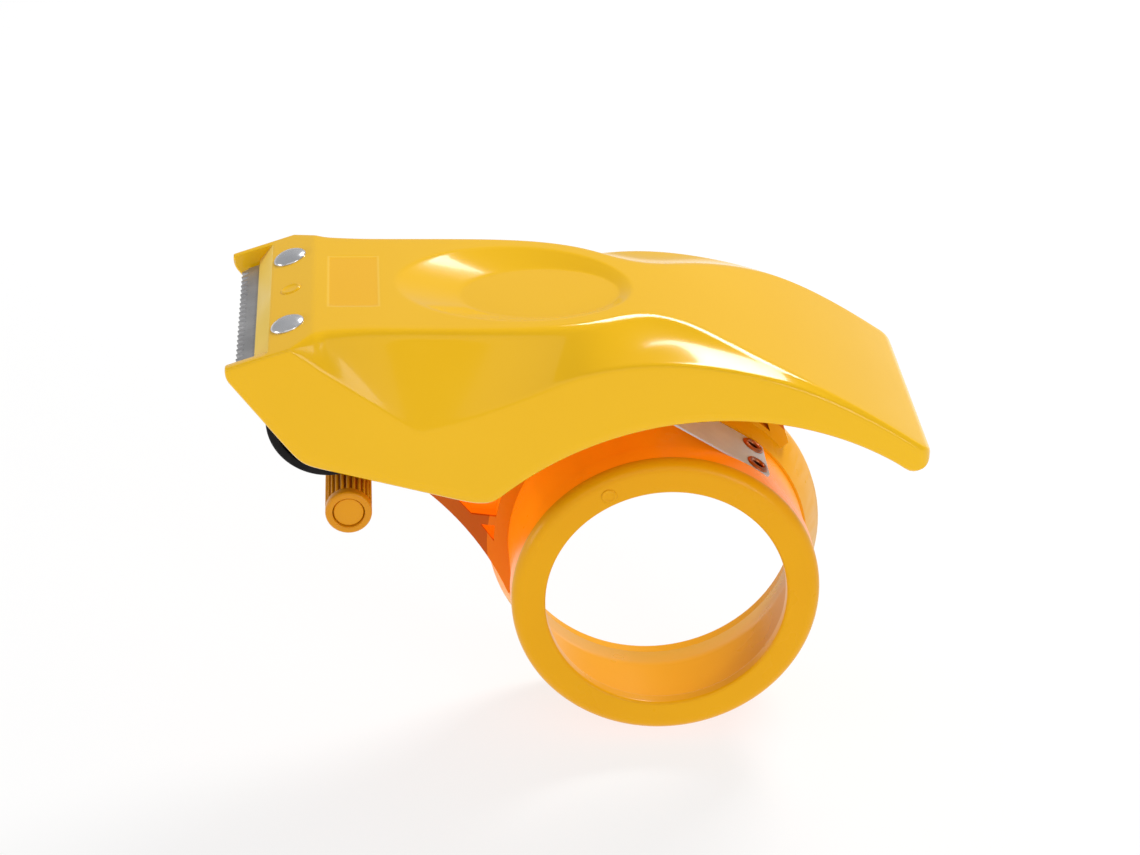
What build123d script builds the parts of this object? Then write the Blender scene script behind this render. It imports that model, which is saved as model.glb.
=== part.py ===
from build123d import *
import os
from math import cos, pi, radians, sin, tan

os.makedirs("parts", exist_ok=True)

# Hand tape dispenser for packing tape on a 3 inch core.
# Frame: the origin is on the tape hub's axis, in the middle plane of the hood.
# +X points to the tail of the palm rest, -X to the cutting blade, +Z up.
# The tape roll goes on from -Y, so -Y is the near side and +Y the frame side.

# ---------------------------------------------------------------- driving sizes, millimetres
CORE_BORE = 76.2            # inside diameter of the tape core the hub carries
CORE_CLEARANCE = 0.4        # radial room between the hub and the core

HOOD_HALF = 32.0            # half the width over the hood's side skirts
HOOD_WALL = 2.4             # moulded wall of the hood
FRAME_BACK = HOOD_HALF - HOOD_WALL   # the frame's back lies on the far skirt's inner face

# tape hub
HUB_R = CORE_BORE / 2 - CORE_CLEARANCE
HUB_NEAR = -8.8             # Y of the hub's open end
RIM_END = 0.2               # Y where the hub's full-size rim ends
DRUM_R = HUB_R - 0.6        # the drum behind the rim is a little smaller
HUB_SEAT = 25.5             # Y of the shoulder that the hub tube stands on in the frame
HUB_BORE_NEAR = 34.9        # moulding draft widens the bore towards the frame
HUB_BORE_FAR = 35.7
LIP_BORE = 29.5             # opening through the hub's inward lip
LIP_THICK = 4.0
HUB_EDGE = 3.0              # rounding round the hub's open end

# cone on the frame that the tape core stops against
CONE_START = 17.8
CONE_R_SMALL = DRUM_R + 0.7
CONE_R_LARGE = 42.1
FRAME_BORE = 36.4

# side frame
RIB_FACE = 22.0             # Y of the rims and ribs
WEB_NEAR = HUB_SEAT         # Y of the floor of the pockets
WEB_FAR = 28.0              # Y of the floor of the pockets on the back
RIM = 3.6                   # width of the rim round the outline
RIB = 2.6                   # width of a radial rib
RIB_ANGLES = (171, 150, 129, 108, 87)

# press roller and guide post
ROLLER_X, ROLLER_Z = -79.9, 60.9
ROLLER_R = 14.0
TYRE_WALL = 2.1
ROLLER_NEAR, ROLLER_FAR = -27.0, 21.0
AXLE_R = 3.0
POST_X, POST_Z = -75.9, 37.0
POST_R = 5.4
POST_NEAR, POST_FAR = -27.0, 21.0
PIN_R = 2.6
RUNNING = 0.05              # radial running clearance of the two rollers

# blade, clamp and rivets, all parallel to the sloping front of the roof
FRONT_TILT = 17.5           # slope of the roof's front, degrees
CREASE_X, CREASE_Z = -82.4, 83.3     # where the slope meets the long top
LIP_TOP_X = -92.9           # upper edge of the roof's front face
LIP_LOW_X, LIP_LOW_Z = -96.6, 75.1   # lower edge of the roof's front face
BLADE_TIP = 3.8             # how far the teeth stand out past the roof
BLADE_DEPTH = 16.0
BLADE_HALF = 28.8
BLADE_THICK = 0.8
TOOTH_PITCH = 2.5
TOOTH_DEPTH = 1.5
CLAMP_THICK = 1.2
RIVET_Y = 18.5
RIVET_X = -88.2
RIVET_HEAD_R = 4.0
RIVET_SHANK_R = 1.9

# leaf spring on the hub, measured along the leaf from the foot of its normal, + to the free end
LEAF_ANGLE = 33.0           # angle of the leaf's normal from +Z, towards +X
LEAF_THICK = 0.5
LEAF_NEAR, LEAF_FAR = 0.8, 17.4
LEAF_SEAT = HUB_R - 0.8     # distance of the flat under the leaf from the hub's axis
LEAF_TAIL = -6.4            # riveted end of the leaf
LEAF_BEND = 8.2             # where the free arm leaves the hub
LEAF_FREE = 26.0            # free end of the arm
EYELET_Y = (4.0, 13.8)
EYELET_ALONG = -3.0
EYELET_R = 2.65
EYELET_SHANK_R = 1.9
EYELET_HOLE_R = 1.3
EYELET_RIM = 0.5

# screws that hold the frame to the hood
SCREW_PLACES = ((-60.0, 52.5), (-36.0, 56.0), (10.0, 66.0))
SCREW_R = 1.6
SCREW_HEAD_R = 3.4
SCREW_HEAD = 2.0


def across(y):
    """Sketch plane square to the hub axis at a given Y, with X and Z as its two axes."""
    return Plane.XZ.offset(-y)


def front_plane(x, y, drop=0.0):
    """Sketch plane lying on the roof's sloping front at x and y, sunk by a drop."""
    surface = Vector(x, y, CREASE_Z + (x - CREASE_X) * tan(radians(FRONT_TILT)))
    normal = Vector(-sin(radians(FRONT_TILT)), 0, cos(radians(FRONT_TILT)))
    along = Vector(cos(radians(FRONT_TILT)), 0, sin(radians(FRONT_TILT)))
    return Plane(origin=surface - normal * drop, x_dir=along, z_dir=normal)


def leaf_plane(height=0.0, y=0.0):
    """Plane on the hub's leaf seat: its x runs to the leaf's free end, its z stands off the hub."""
    normal = Vector(sin(radians(LEAF_ANGLE)), 0, cos(radians(LEAF_ANGLE)))
    along = Vector(-cos(radians(LEAF_ANGLE)), 0, sin(radians(LEAF_ANGLE)))
    return Plane(origin=normal * (LEAF_SEAT + height) + Vector(0, y, 0), x_dir=along, z_dir=normal)


def curve_height(curve, x):
    """Second coordinate of a curve that always advances in its first, at the value x."""
    low, high = 0.0, 1.0
    for _ in range(40):
        middle = (low + high) / 2
        if curve.position_at(middle).X < x:
            low = middle
        else:
            high = middle
    return curve.position_at((low + high) / 2).Y


# ---------------------------------------------------------------- hood
# Three guide lines give the hood's section anywhere along X: the height of the top,
# the half width of the top, and the height of the crease where the flare meets the skirt.
front_slope = tan(radians(FRONT_TILT))
TOP_LINE = Spline((CREASE_X, CREASE_Z), (-50, 82.3), (-20, 81.2), (4, 77.8), (28, 69.1), (58.4, 50.2))
HALF_TOP = Spline((-80, 27.4), (-70, 26.3), (-40, 26.3), (-22, 23.0), (-5, 15.4), (10, 21.1),
                  (28, 28.9), (58.4, 31.2))
CREASE_LINE = Spline((-55, 60.3), (-36, 66.8), (-18, 73.8), (-2, 74.9), (16, 71.8), (38, 62.4),
                     (58.4, 49.4))
FLARE_START = (-87.4, CREASE_Z + (-87.4 - CREASE_X) * front_slope)
FLARE_LOW = (-59.5, 59.6)
NOSE_X = -101.6
TAIL_X = 58.4
DISH_FLOOR = 78.9           # height of the thumb rest's floor
BADGE_DEPTH = 0.4
STATIONS = (-104, -96, -87.4, -82.4, -78, -70, -62, -55, -47, -38, -29, -20, -12, -4, 5, 14, 24, 36,
            48, TAIL_X)


def top_height(x):
    """Height of the outer top at x."""
    if x <= CREASE_X:
        return CREASE_Z + (x - CREASE_X) * front_slope
    return curve_height(TOP_LINE, x)


def half_top(x):
    """Half the width of the flat top at x: full at the front, pinched at the waist."""
    if x <= FLARE_START[0]:
        return HOOD_HALF - 0.4
    if x <= -80:
        share = (x - FLARE_START[0]) / (-80 - FLARE_START[0])
        return HOOD_HALF - 0.4 + share * (27.4 - HOOD_HALF + 0.4)
    return curve_height(HALF_TOP, x)


def crease_height(x):
    """Height at x of the crease where the flare meets the side skirt."""
    if x <= FLARE_START[0]:
        return top_height(x) - 0.6
    if x <= -55:
        share = (x - FLARE_START[0]) / (FLARE_LOW[0] - FLARE_START[0])
        straight = FLARE_START[1] - 0.6 + share * (FLARE_LOW[1] - FLARE_START[1] + 0.6)
        return max(straight, 60.3)
    return curve_height(CREASE_LINE, x)


def hood_section(x, wall):
    """Closed section of the hood at x, drawn in from the outside by a wall thickness."""
    skirt = HOOD_HALF - wall
    top = top_height(x) - wall
    crease = min(crease_height(x) - 0.5 * wall, top - 0.4)
    half = min(half_top(x) - 0.6 * wall, skirt - 0.3)
    with BuildSketch(Plane.YZ.offset(x)) as section:
        with BuildLine():
            Polyline((-skirt, 20), (-skirt, crease), (-half, top), (half, top), (skirt, crease),
                     (skirt, 20), close=True)
        make_face()
    return section.sketch


def hood_block(wall, x_from, x_to):
    """Solid through the hood's sections between two places along X."""
    places = [x_from] + [x for x in STATIONS if x_from < x < x_to] + [x_to]
    return loft([hood_section(x, wall) for x in places], ruled=True)


def dish(grow, floor):
    """Oval thumb rest as a solid: its mouth at the top, its floor at a given height."""
    with BuildPart() as bowl:
        with BuildSketch(Plane.XY.offset(floor)):
            with Locations((-30.0, 0)):
                Ellipse(18.2 + grow, 13.6 + grow)
        with BuildSketch(Plane.XY.offset(82.6 + grow * 0.2)):
            with Locations((-36.0, 0)):
                Ellipse(27.6 + grow, 20.6 + grow * 0.8)
        loft()
    return bowl.part


with BuildPart() as cavity:
    add(hood_block(HOOD_WALL, NOSE_X - 6, TAIL_X - HOOD_WALL))
    add(dish(HOOD_WALL, DISH_FLOOR - HOOD_WALL), mode=Mode.SUBTRACT)
    # the roof stays thick over the blade
    with BuildSketch(across(HOOD_HALF)):
        with BuildLine():
            thick_end = -83.0
            Polyline((LIP_LOW_X, LIP_LOW_Z), (LIP_LOW_X, 90), (thick_end, 90),
                     (thick_end, LIP_LOW_Z + (thick_end - LIP_LOW_X) * front_slope), close=True)
        make_face()
    extrude(amount=2 * HOOD_HALF, mode=Mode.SUBTRACT)

with BuildPart() as hood:
    add(hood_block(0, NOSE_X - 2, TAIL_X))
    # side outline: nose, front edge, round toe, long arch, tail
    with BuildSketch(across(HOOD_HALF + 1)):
        with BuildLine():
            ThreePointArc((-42.5, 41.7), (9, 60.7), (54.0, 45.9))
            Polyline((54.0, 45.9), (59.5, 45.9), (59.5, 95), (NOSE_X, 95), (NOSE_X, 75.8),
                           (-86.6, 53.6), (-49.0, 41.7), (-42.5, 41.7))
        make_face()
        fillet(vertices().filter_by(lambda v: v.X < NOSE_X + 0.1 and v.Y < 90), 2.0)
        fillet(vertices().filter_by(lambda v: -90 < v.X < -85), 6.0)
    extrude(amount=2 * HOOD_HALF + 2, mode=Mode.INTERSECT)
    # cavity under the roof, open below and at the front
    add(cavity.part, mode=Mode.SUBTRACT)
    # mouth between the cheeks, in front of the roof's sloping front face
    with BuildSketch(across(FRAME_BACK)):
        with BuildLine():
            Polyline((LIP_LOW_X, LIP_LOW_Z), (LIP_TOP_X, top_height(LIP_TOP_X)), (LIP_TOP_X, 90),
                     (-110, 90), (-110, 60), (LIP_LOW_X, 60), close=True)
        make_face()
    extrude(amount=2 * FRAME_BACK, mode=Mode.SUBTRACT)
    add(dish(0, DISH_FLOOR), mode=Mode.SUBTRACT)
    # holes for the blade rivets and the frame screws, a mould mark and a blank badge recess
    for side in (-RIVET_Y, RIVET_Y):
        with BuildSketch(front_plane(RIVET_X, side)):
            Circle(RIVET_SHANK_R)
        extrude(amount=8, both=True, mode=Mode.SUBTRACT)
    with BuildSketch(front_plane(RIVET_X + 0.5, 0)):
        Circle(2.3)
        Circle(1.7, mode=Mode.SUBTRACT)
    extrude(amount=0.25, both=True)
    with BuildSketch(across(FRAME_BACK)):
        with Locations(*SCREW_PLACES):
            Circle(SCREW_R)
    extrude(amount=-HOOD_WALL, mode=Mode.SUBTRACT)
    badge = Vector(-73.2, 0, top_height(-73.2) - BADGE_DEPTH)
    with BuildSketch(Plane(origin=badge, x_dir=(1, 0, -0.035), z_dir=(0.035, 0, 1))):
        RectangleRounded(11.8, 27.6, 2.0)
    extrude(amount=5, mode=Mode.SUBTRACT)
hood.part.label = "hood_shell"
export_step(hood.part, "parts/hood_shell.step")

# ---------------------------------------------------------------- blade, clamp strip and rivets
# The blade lies against the roof's underside, which is sunk by this much below the roof.
BLADE_SINK = (top_height(LIP_LOW_X) - LIP_LOW_Z) * cos(radians(FRONT_TILT)) + 0.02
front_x = (LIP_LOW_X - RIVET_X) / cos(radians(FRONT_TILT)) - BLADE_SINK * tan(radians(FRONT_TILT))
tip_x = front_x - BLADE_TIP
TEETH = int(2 * BLADE_HALF / TOOTH_PITCH)

with BuildPart() as blade:
    with BuildSketch(front_plane(RIVET_X, 0, BLADE_SINK)):
        with BuildLine():
            start_y = -TEETH * TOOTH_PITCH / 2
            saw = []
            for tooth in range(TEETH):
                saw.append((tip_x + TOOTH_DEPTH, start_y + tooth * TOOTH_PITCH))
                saw.append((tip_x, start_y + (tooth + 0.5) * TOOTH_PITCH))
            saw.append((tip_x + TOOTH_DEPTH, -start_y))
            back = tip_x + BLADE_DEPTH
            Polyline(*saw, (tip_x + TOOTH_DEPTH, BLADE_HALF), (back, BLADE_HALF), (back, -BLADE_HALF),
                     (tip_x + TOOTH_DEPTH, -BLADE_HALF), close=True)
        make_face()
        with Locations((0, -RIVET_Y), (0, RIVET_Y)):
            Circle(RIVET_SHANK_R, mode=Mode.SUBTRACT)
    extrude(amount=-BLADE_THICK)
blade.part.label = "cutting_blade"
export_step(blade.part, "parts/cutting_blade.step")

with BuildPart() as clamp:
    with BuildSketch(front_plane(RIVET_X, 0, BLADE_SINK + BLADE_THICK)):
        RectangleRounded(9.0, 2 * RIVET_Y + 10, 2.0)
        with Locations((0, -RIVET_Y), (0, RIVET_Y)):
            Circle(RIVET_SHANK_R, mode=Mode.SUBTRACT)
    extrude(amount=-CLAMP_THICK)
clamp.part.label = "blade_clamp"
export_step(clamp.part, "parts/blade_clamp.step")

RIVET_DOME = 1.5
RIVET_GRIP = BLADE_SINK + BLADE_THICK + CLAMP_THICK
RIVET_TAIL = 1.0


def blade_rivet(side):
    """One domed rivet through the roof, the blade and the clamp strip."""
    base = front_plane(RIVET_X, side)
    with BuildPart() as rivet:
        with BuildSketch(Plane(origin=base.origin, x_dir=base.x_dir, z_dir=-base.y_dir)):
            with BuildLine():
                ThreePointArc((0, RIVET_DOME), (RIVET_HEAD_R * 0.62, RIVET_DOME * 0.72),
                                      (RIVET_HEAD_R, 0.2))
                Polyline((RIVET_HEAD_R, 0.2), (RIVET_HEAD_R, 0), (RIVET_SHANK_R, 0),
                         (RIVET_SHANK_R, -RIVET_GRIP), (3.0, -RIVET_GRIP),
                         (2.6, -RIVET_GRIP - RIVET_TAIL), (0, -RIVET_GRIP - RIVET_TAIL),
                         (0, RIVET_DOME))
            make_face()
        revolve(axis=Axis(base.origin, base.z_dir))
    return rivet.part


rivets = Compound(label="blade_rivets", children=[blade_rivet(-RIVET_Y), blade_rivet(RIVET_Y)])
export_step(rivets, "parts/blade_rivets.step")

# ---------------------------------------------------------------- side frame
# The plate's outline, from the hub's lower left round the roller and along under the hood.
with BuildSketch() as frame_outline:
    with BuildLine():
        ThreePointArc((-37.2, -14.6), (-45.8, 2.0), (-58.0, 16.2))
        Polyline((-58.0, 16.2), (-77.5, 29.5), (-83.0, 36.0), (-88.0, 60.0), (-84.0, 68.0),
                 (-76.0, 67.5), (-61.5, 57.5), (-45.0, 60.0), (-20.0, 68.0), (9.0, 71.5),
                 (21.0, 66.0), (33.0, 26.0), (0, 0), (-37.2, -14.6))
    make_face()
    fillet(vertices().filter_by(lambda v: v.X < -70 or v.Y > 64), 3.0)
    Circle(DRUM_R, mode=Mode.SUBTRACT)

BOSS_WALL = 3.0             # plastic round the axle and the pin
with BuildSketch() as pockets:
    add(frame_outline.sketch)
    offset(amount=-RIM, mode=Mode.REPLACE)
    for angle in RIB_ANGLES:
        turn = radians(angle)
        with Locations(Location((60 * cos(turn), 60 * sin(turn), 0), (0, 0, angle))):
            Rectangle(110, RIB, mode=Mode.SUBTRACT)
    with Locations((ROLLER_X, ROLLER_Z)):
        Circle(AXLE_R + BOSS_WALL + 1, mode=Mode.SUBTRACT)
    with Locations((POST_X, POST_Z)):
        Circle(PIN_R + BOSS_WALL + 1, mode=Mode.SUBTRACT)
    with Locations(*SCREW_PLACES):
        Circle(SCREW_R + BOSS_WALL - 0.4, mode=Mode.SUBTRACT)

with BuildPart() as side_frame:
    # cone that the tape core stops against, and the ring behind it
    with BuildSketch(Plane.XY):
        with BuildLine():
            Polyline((FRAME_BORE, HUB_SEAT), (FRAME_BORE, FRAME_BACK), (CONE_R_LARGE, FRAME_BACK),
                     (CONE_R_LARGE, FRAME_BACK - 2.0), (CONE_R_SMALL, CONE_START),
                     (DRUM_R, CONE_START), (DRUM_R, HUB_SEAT), close=True)
        make_face()
    revolve(axis=Axis.Y)
    # the cone is cut back to the rib faces where the plate joins it
    with BuildSketch(across(RIB_FACE)):
        with BuildLine():
            Polyline((0, 0), (14, 80), (-90, 80), (-90, -44), close=True)
        make_face()
        Circle(DRUM_R, mode=Mode.SUBTRACT)
    extrude(amount=8, mode=Mode.SUBTRACT)
    with BuildSketch(across(RIB_FACE)):
        add(frame_outline.sketch)
    extrude(amount=RIB_FACE - FRAME_BACK)
    # pockets on both faces leave rims, radial ribs and a web
    with BuildSketch(across(RIB_FACE)):
        add(pockets.sketch)
    extrude(amount=RIB_FACE - WEB_NEAR, mode=Mode.SUBTRACT)
    with BuildSketch(across(WEB_FAR)):
        add(pockets.sketch)
        Circle(CONE_R_LARGE, mode=Mode.SUBTRACT)
    extrude(amount=WEB_FAR - FRAME_BACK, mode=Mode.SUBTRACT)
    # bosses for the axle, the guide pin and the screws
    with BuildSketch(across(ROLLER_FAR + 0.4)):
        with Locations((ROLLER_X, ROLLER_Z)):
            Circle(AXLE_R + BOSS_WALL)
        with Locations((POST_X, POST_Z)):
            Circle(PIN_R + BOSS_WALL)
    extrude(amount=-(FRAME_BACK - ROLLER_FAR - 0.4))
    with BuildSketch(across(ROLLER_FAR + 0.3)):
        with Locations((ROLLER_X, ROLLER_Z)):
            Circle(AXLE_R)
        with Locations((POST_X, POST_Z)):
            Circle(PIN_R)
    extrude(amount=-20, mode=Mode.SUBTRACT)
    with BuildSketch(across(RIB_FACE + 1)):
        with Locations(*SCREW_PLACES):
            Circle(SCREW_R)
    extrude(amount=-20, mode=Mode.SUBTRACT)
side_frame.part.label = "side_frame"
export_step(side_frame.part, "parts/side_frame.step")

screws = []
for place in SCREW_PLACES:
    with BuildPart() as screw:
        with BuildSketch(across(RIB_FACE + 1)):
            with Locations(place):
                Circle(SCREW_R)
        extrude(amount=-(HOOD_HALF - RIB_FACE - 1))
        with BuildSketch(across(HOOD_HALF)):
            with Locations(place):
                Circle(SCREW_HEAD_R)
        extrude(amount=-SCREW_HEAD)
        fillet(edges().group_by(Axis.Y)[-1], 1.2)
        with BuildSketch(across(HOOD_HALF + SCREW_HEAD)):
            with Locations(place):
                Rectangle(3.6, 0.8)
                Rectangle(0.8, 3.6)
        extrude(amount=1.2, mode=Mode.SUBTRACT)
    screws.append(screw.part)
frame_screws = Compound(label="frame_screws", children=screws)
export_step(frame_screws, "parts/frame_screws.step")

# ---------------------------------------------------------------- tape hub
with BuildPart() as hub:
    with BuildSketch(Plane.XY):
        with BuildLine():
            Polyline((LIP_BORE, HUB_NEAR), (HUB_R, HUB_NEAR), (HUB_R, RIM_END),
                     (DRUM_R, RIM_END), (DRUM_R, HUB_SEAT),
                     (HUB_BORE_FAR, HUB_SEAT), (HUB_BORE_NEAR, HUB_NEAR + LIP_THICK),
                     (LIP_BORE, HUB_NEAR + LIP_THICK), close=True)
        make_face()
        fillet(vertices().sort_by(Axis.Y)[:2].sort_by(Axis.X)[-1], HUB_EDGE)
        fillet(vertices().sort_by(Axis.X)[:2], 0.6)
    revolve(axis=Axis.Y)
    # flat for the leaf spring and its rivet holes
    seat_middle = (LEAF_NEAR + LEAF_FAR) / 2
    with BuildSketch(leaf_plane(0, seat_middle)):
        Rectangle(24, LEAF_FAR - LEAF_NEAR + 0.8)
    extrude(amount=4, mode=Mode.SUBTRACT)
    for y in EYELET_Y:
        with BuildSketch(leaf_plane(0, y)):
            with Locations((EYELET_ALONG, 0)):
                Circle(EYELET_SHANK_R)
        extrude(amount=-6, mode=Mode.SUBTRACT)
    # mould mark on the open face
    with BuildSketch(across(HUB_NEAR)):
        with Locations((-14.2, 29.2)):
            Circle(1.7)
            Circle(1.1, mode=Mode.SUBTRACT)
    extrude(amount=-0.3, mode=Mode.SUBTRACT)
hub.part.label = "tape_hub"
export_step(hub.part, "parts/tape_hub.step")

# ---------------------------------------------------------------- leaf spring
leaf_width = LEAF_FAR - LEAF_NEAR
with BuildPart() as leaf_foot:
    with BuildSketch(leaf_plane(0, seat_middle)):
        with Locations(((LEAF_TAIL + LEAF_BEND - 0.15) / 2, 0)):
            Rectangle(LEAF_BEND - 0.15 - LEAF_TAIL, leaf_width)
        for y in EYELET_Y:
            with Locations((EYELET_ALONG, seat_middle - y)):
                Circle(EYELET_SHANK_R, mode=Mode.SUBTRACT)
    extrude(amount=LEAF_THICK)
leaf_foot.part.label = "leaf_foot"
export_step(leaf_foot.part, "parts/leaf_foot.step")

with BuildPart() as leaf_arm:
    with BuildSketch(leaf_plane(0, seat_middle)):
        with Locations(((LEAF_BEND + LEAF_FREE) / 2, 0)):
            Rectangle(LEAF_FREE - LEAF_BEND, leaf_width)
    extrude(amount=LEAF_THICK)
leaf_arm.part.label = "leaf_arm"
export_step(leaf_arm.part, "parts/leaf_arm.step")

BACKING_TOP = 2.45          # depth below the seat of the strip under the eyelets' tails
BACKING = 0.5
with BuildPart() as backing:
    with BuildSketch(leaf_plane(-BACKING_TOP, seat_middle)):
        with Locations((EYELET_ALONG, 0)):
            RectangleRounded(5.6, 15.8, 1.0)
        for y in EYELET_Y:
            with Locations((EYELET_ALONG, seat_middle - y)):
                Circle(EYELET_SHANK_R, mode=Mode.SUBTRACT)
    extrude(amount=-BACKING)
backing.part.label = "leaf_backing"
export_step(backing.part, "parts/leaf_backing.step")

EYELET_TAIL = BACKING_TOP + BACKING
eyelets = []
for y in EYELET_Y:
    seat = leaf_plane(0, y)
    centre = seat.origin + seat.x_dir * EYELET_ALONG
    with BuildPart() as eyelet:
        with BuildSketch(Plane(origin=centre, x_dir=seat.x_dir, z_dir=-seat.y_dir)):
            with BuildLine():
                rim_top = LEAF_THICK + EYELET_RIM
                Polyline((EYELET_HOLE_R, rim_top), (EYELET_R - 0.25, rim_top), (EYELET_R, rim_top - 0.25),
                         (EYELET_R, LEAF_THICK), (EYELET_SHANK_R, LEAF_THICK),
                         (EYELET_SHANK_R, -EYELET_TAIL), (EYELET_R, -EYELET_TAIL),
                         (EYELET_R, -EYELET_TAIL - 0.6), (EYELET_HOLE_R, -EYELET_TAIL - 0.6),
                         close=True)
            make_face()
        revolve(axis=Axis(centre, seat.z_dir))
    eyelets.append(eyelet.part)
leaf_eyelets = Compound(label="leaf_eyelets", children=eyelets)
export_step(leaf_eyelets, "parts/leaf_eyelets.step")

# ---------------------------------------------------------------- press roller
CORE_R = ROLLER_R - TYRE_WALL
WEB_IN = 5.0                # the core's webs stand in from the roller's ends
WEB = 3.0
BUSH_R = 5.4                # plain bushes in the webs run on the axle
BUSH_PROUD = 1.0            # length of a bush past its web, inside the core
with BuildPart() as tyre:
    with BuildSketch(across(ROLLER_NEAR)):
        with Locations((ROLLER_X, ROLLER_Z)):
            Circle(ROLLER_R)
            Circle(CORE_R, mode=Mode.SUBTRACT)
    extrude(amount=ROLLER_NEAR - ROLLER_FAR)
    fillet(edges().filter_by(GeomType.CIRCLE).group_by(SortBy.RADIUS)[-1], 0.5)
tyre.part.label = "roller_tyre"
export_step(tyre.part, "parts/roller_tyre.step")

with BuildPart() as core:
    with BuildSketch(across(ROLLER_NEAR + 1)):
        with Locations((ROLLER_X, ROLLER_Z)):
            Circle(CORE_R)
            Circle(CORE_R - 1.8, mode=Mode.SUBTRACT)
    extrude(amount=ROLLER_NEAR - ROLLER_FAR + 2)
    for start in (ROLLER_NEAR + WEB_IN, ROLLER_FAR - WEB):
        with BuildSketch(across(start)):
            with Locations((ROLLER_X, ROLLER_Z)):
                Circle(CORE_R - 1)
                Circle(BUSH_R, mode=Mode.SUBTRACT)
        extrude(amount=-WEB)
core.part.label = "roller_core"
export_step(core.part, "parts/roller_core.step")

bushes = []
for start in (ROLLER_NEAR + WEB_IN, ROLLER_FAR - WEB - BUSH_PROUD):
    with BuildPart() as bush:
        with BuildSketch(across(start)):
            with Locations((ROLLER_X, ROLLER_Z)):
                Circle(BUSH_R)
                Circle(AXLE_R + RUNNING, mode=Mode.SUBTRACT)
        extrude(amount=-WEB - BUSH_PROUD)
    bushes.append(bush.part)
roller_bushes = Compound(label="roller_bushes", children=bushes)
export_step(roller_bushes, "parts/roller_bushes.step")

with BuildPart() as axle:
    with BuildSketch(across(FRAME_BACK)):
        with Locations((ROLLER_X, ROLLER_Z)):
            Circle(AXLE_R)
    extrude(amount=FRAME_BACK - ROLLER_NEAR - 1.5)
    chamfer(edges().group_by(Axis.Y)[0], 0.5)
axle.part.label = "roller_axle"
export_step(axle.part, "parts/roller_axle.step")

with BuildPart() as axle_cap:
    with BuildSketch(across(ROLLER_NEAR + WEB_IN - 0.4)):
        with Locations((ROLLER_X, ROLLER_Z)):
            Circle(5.8)
            Circle(AXLE_R, mode=Mode.SUBTRACT)
    extrude(amount=1.4)
    fillet(edges().group_by(Axis.Y)[0].sort_by(SortBy.RADIUS)[-1], 0.6)
axle_cap.part.label = "roller_retainer"
export_step(axle_cap.part, "parts/roller_retainer.step")

# ---------------------------------------------------------------- ribbed guide post
COLLAR = 2.5
FLUTES = 24
PIN_HEAD_R = 3.5
PIN_HEAD = 1.2
HEAD_ROOM = 0.2
with BuildPart() as sleeve:
    with BuildSketch(across(POST_NEAR)):
        with Locations((POST_X, POST_Z)):
            Circle(POST_R)
    extrude(amount=POST_NEAR - POST_FAR)
    fillet(edges().group_by(Axis.Y)[0], 0.6)
    with BuildSketch(across(POST_NEAR + COLLAR)):
        for flute in range(FLUTES):
            turn = 2 * pi * flute / FLUTES
            with Locations((POST_X + (POST_R + 0.1) * cos(turn), POST_Z + (POST_R + 0.1) * sin(turn))):
                Circle(0.46)
    extrude(amount=-60, mode=Mode.SUBTRACT)
    with BuildSketch(across(POST_NEAR - 1)):
        with Locations((POST_X, POST_Z)):
            Circle(PIN_R + RUNNING)
    extrude(amount=-60, mode=Mode.SUBTRACT)
    with BuildSketch(across(POST_NEAR - 1)):
        with Locations((POST_X, POST_Z)):
            Circle(PIN_HEAD_R + HEAD_ROOM)
    extrude(amount=-(1 + 0.5 + PIN_HEAD + 0.3), mode=Mode.SUBTRACT)
sleeve.part.label = "guide_sleeve"
export_step(sleeve.part, "parts/guide_sleeve.step")

with BuildPart() as guide_pin:
    with BuildSketch(across(POST_NEAR + 0.5)):
        with Locations((POST_X, POST_Z)):
            Circle(PIN_HEAD_R)
    extrude(amount=-PIN_HEAD)
    with BuildSketch(across(POST_NEAR + 0.5 + PIN_HEAD)):
        with Locations((POST_X, POST_Z)):
            Circle(PIN_R)
    extrude(amount=-(FRAME_BACK - POST_NEAR - 0.5 - PIN_HEAD))
    fillet(edges().group_by(Axis.Y)[0], 0.3)
guide_pin.part.label = "guide_pin"
export_step(guide_pin.part, "parts/guide_pin.step")
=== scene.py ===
"""Finished looks of the hand tape dispenser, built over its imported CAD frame."""

import logging
import math
from dataclasses import dataclass, field
from enum import Enum

import bmesh
import bpy
import numpy as np
from mathutils import Matrix, Vector


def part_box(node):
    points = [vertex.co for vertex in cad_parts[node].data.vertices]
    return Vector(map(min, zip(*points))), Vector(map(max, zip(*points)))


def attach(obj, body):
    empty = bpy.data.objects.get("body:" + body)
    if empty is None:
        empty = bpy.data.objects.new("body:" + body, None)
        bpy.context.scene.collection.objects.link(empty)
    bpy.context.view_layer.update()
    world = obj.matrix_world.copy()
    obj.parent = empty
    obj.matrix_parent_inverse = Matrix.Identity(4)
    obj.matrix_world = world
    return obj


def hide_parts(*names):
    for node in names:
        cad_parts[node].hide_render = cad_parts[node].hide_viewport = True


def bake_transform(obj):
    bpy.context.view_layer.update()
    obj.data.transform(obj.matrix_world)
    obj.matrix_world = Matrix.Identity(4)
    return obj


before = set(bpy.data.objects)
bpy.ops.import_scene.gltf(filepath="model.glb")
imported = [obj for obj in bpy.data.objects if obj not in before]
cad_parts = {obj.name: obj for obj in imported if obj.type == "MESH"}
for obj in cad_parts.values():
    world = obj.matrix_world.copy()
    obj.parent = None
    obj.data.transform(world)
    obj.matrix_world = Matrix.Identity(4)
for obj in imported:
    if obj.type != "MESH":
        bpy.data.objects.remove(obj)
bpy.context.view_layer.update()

log = logging.getLogger("tape_dispenser")

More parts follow.
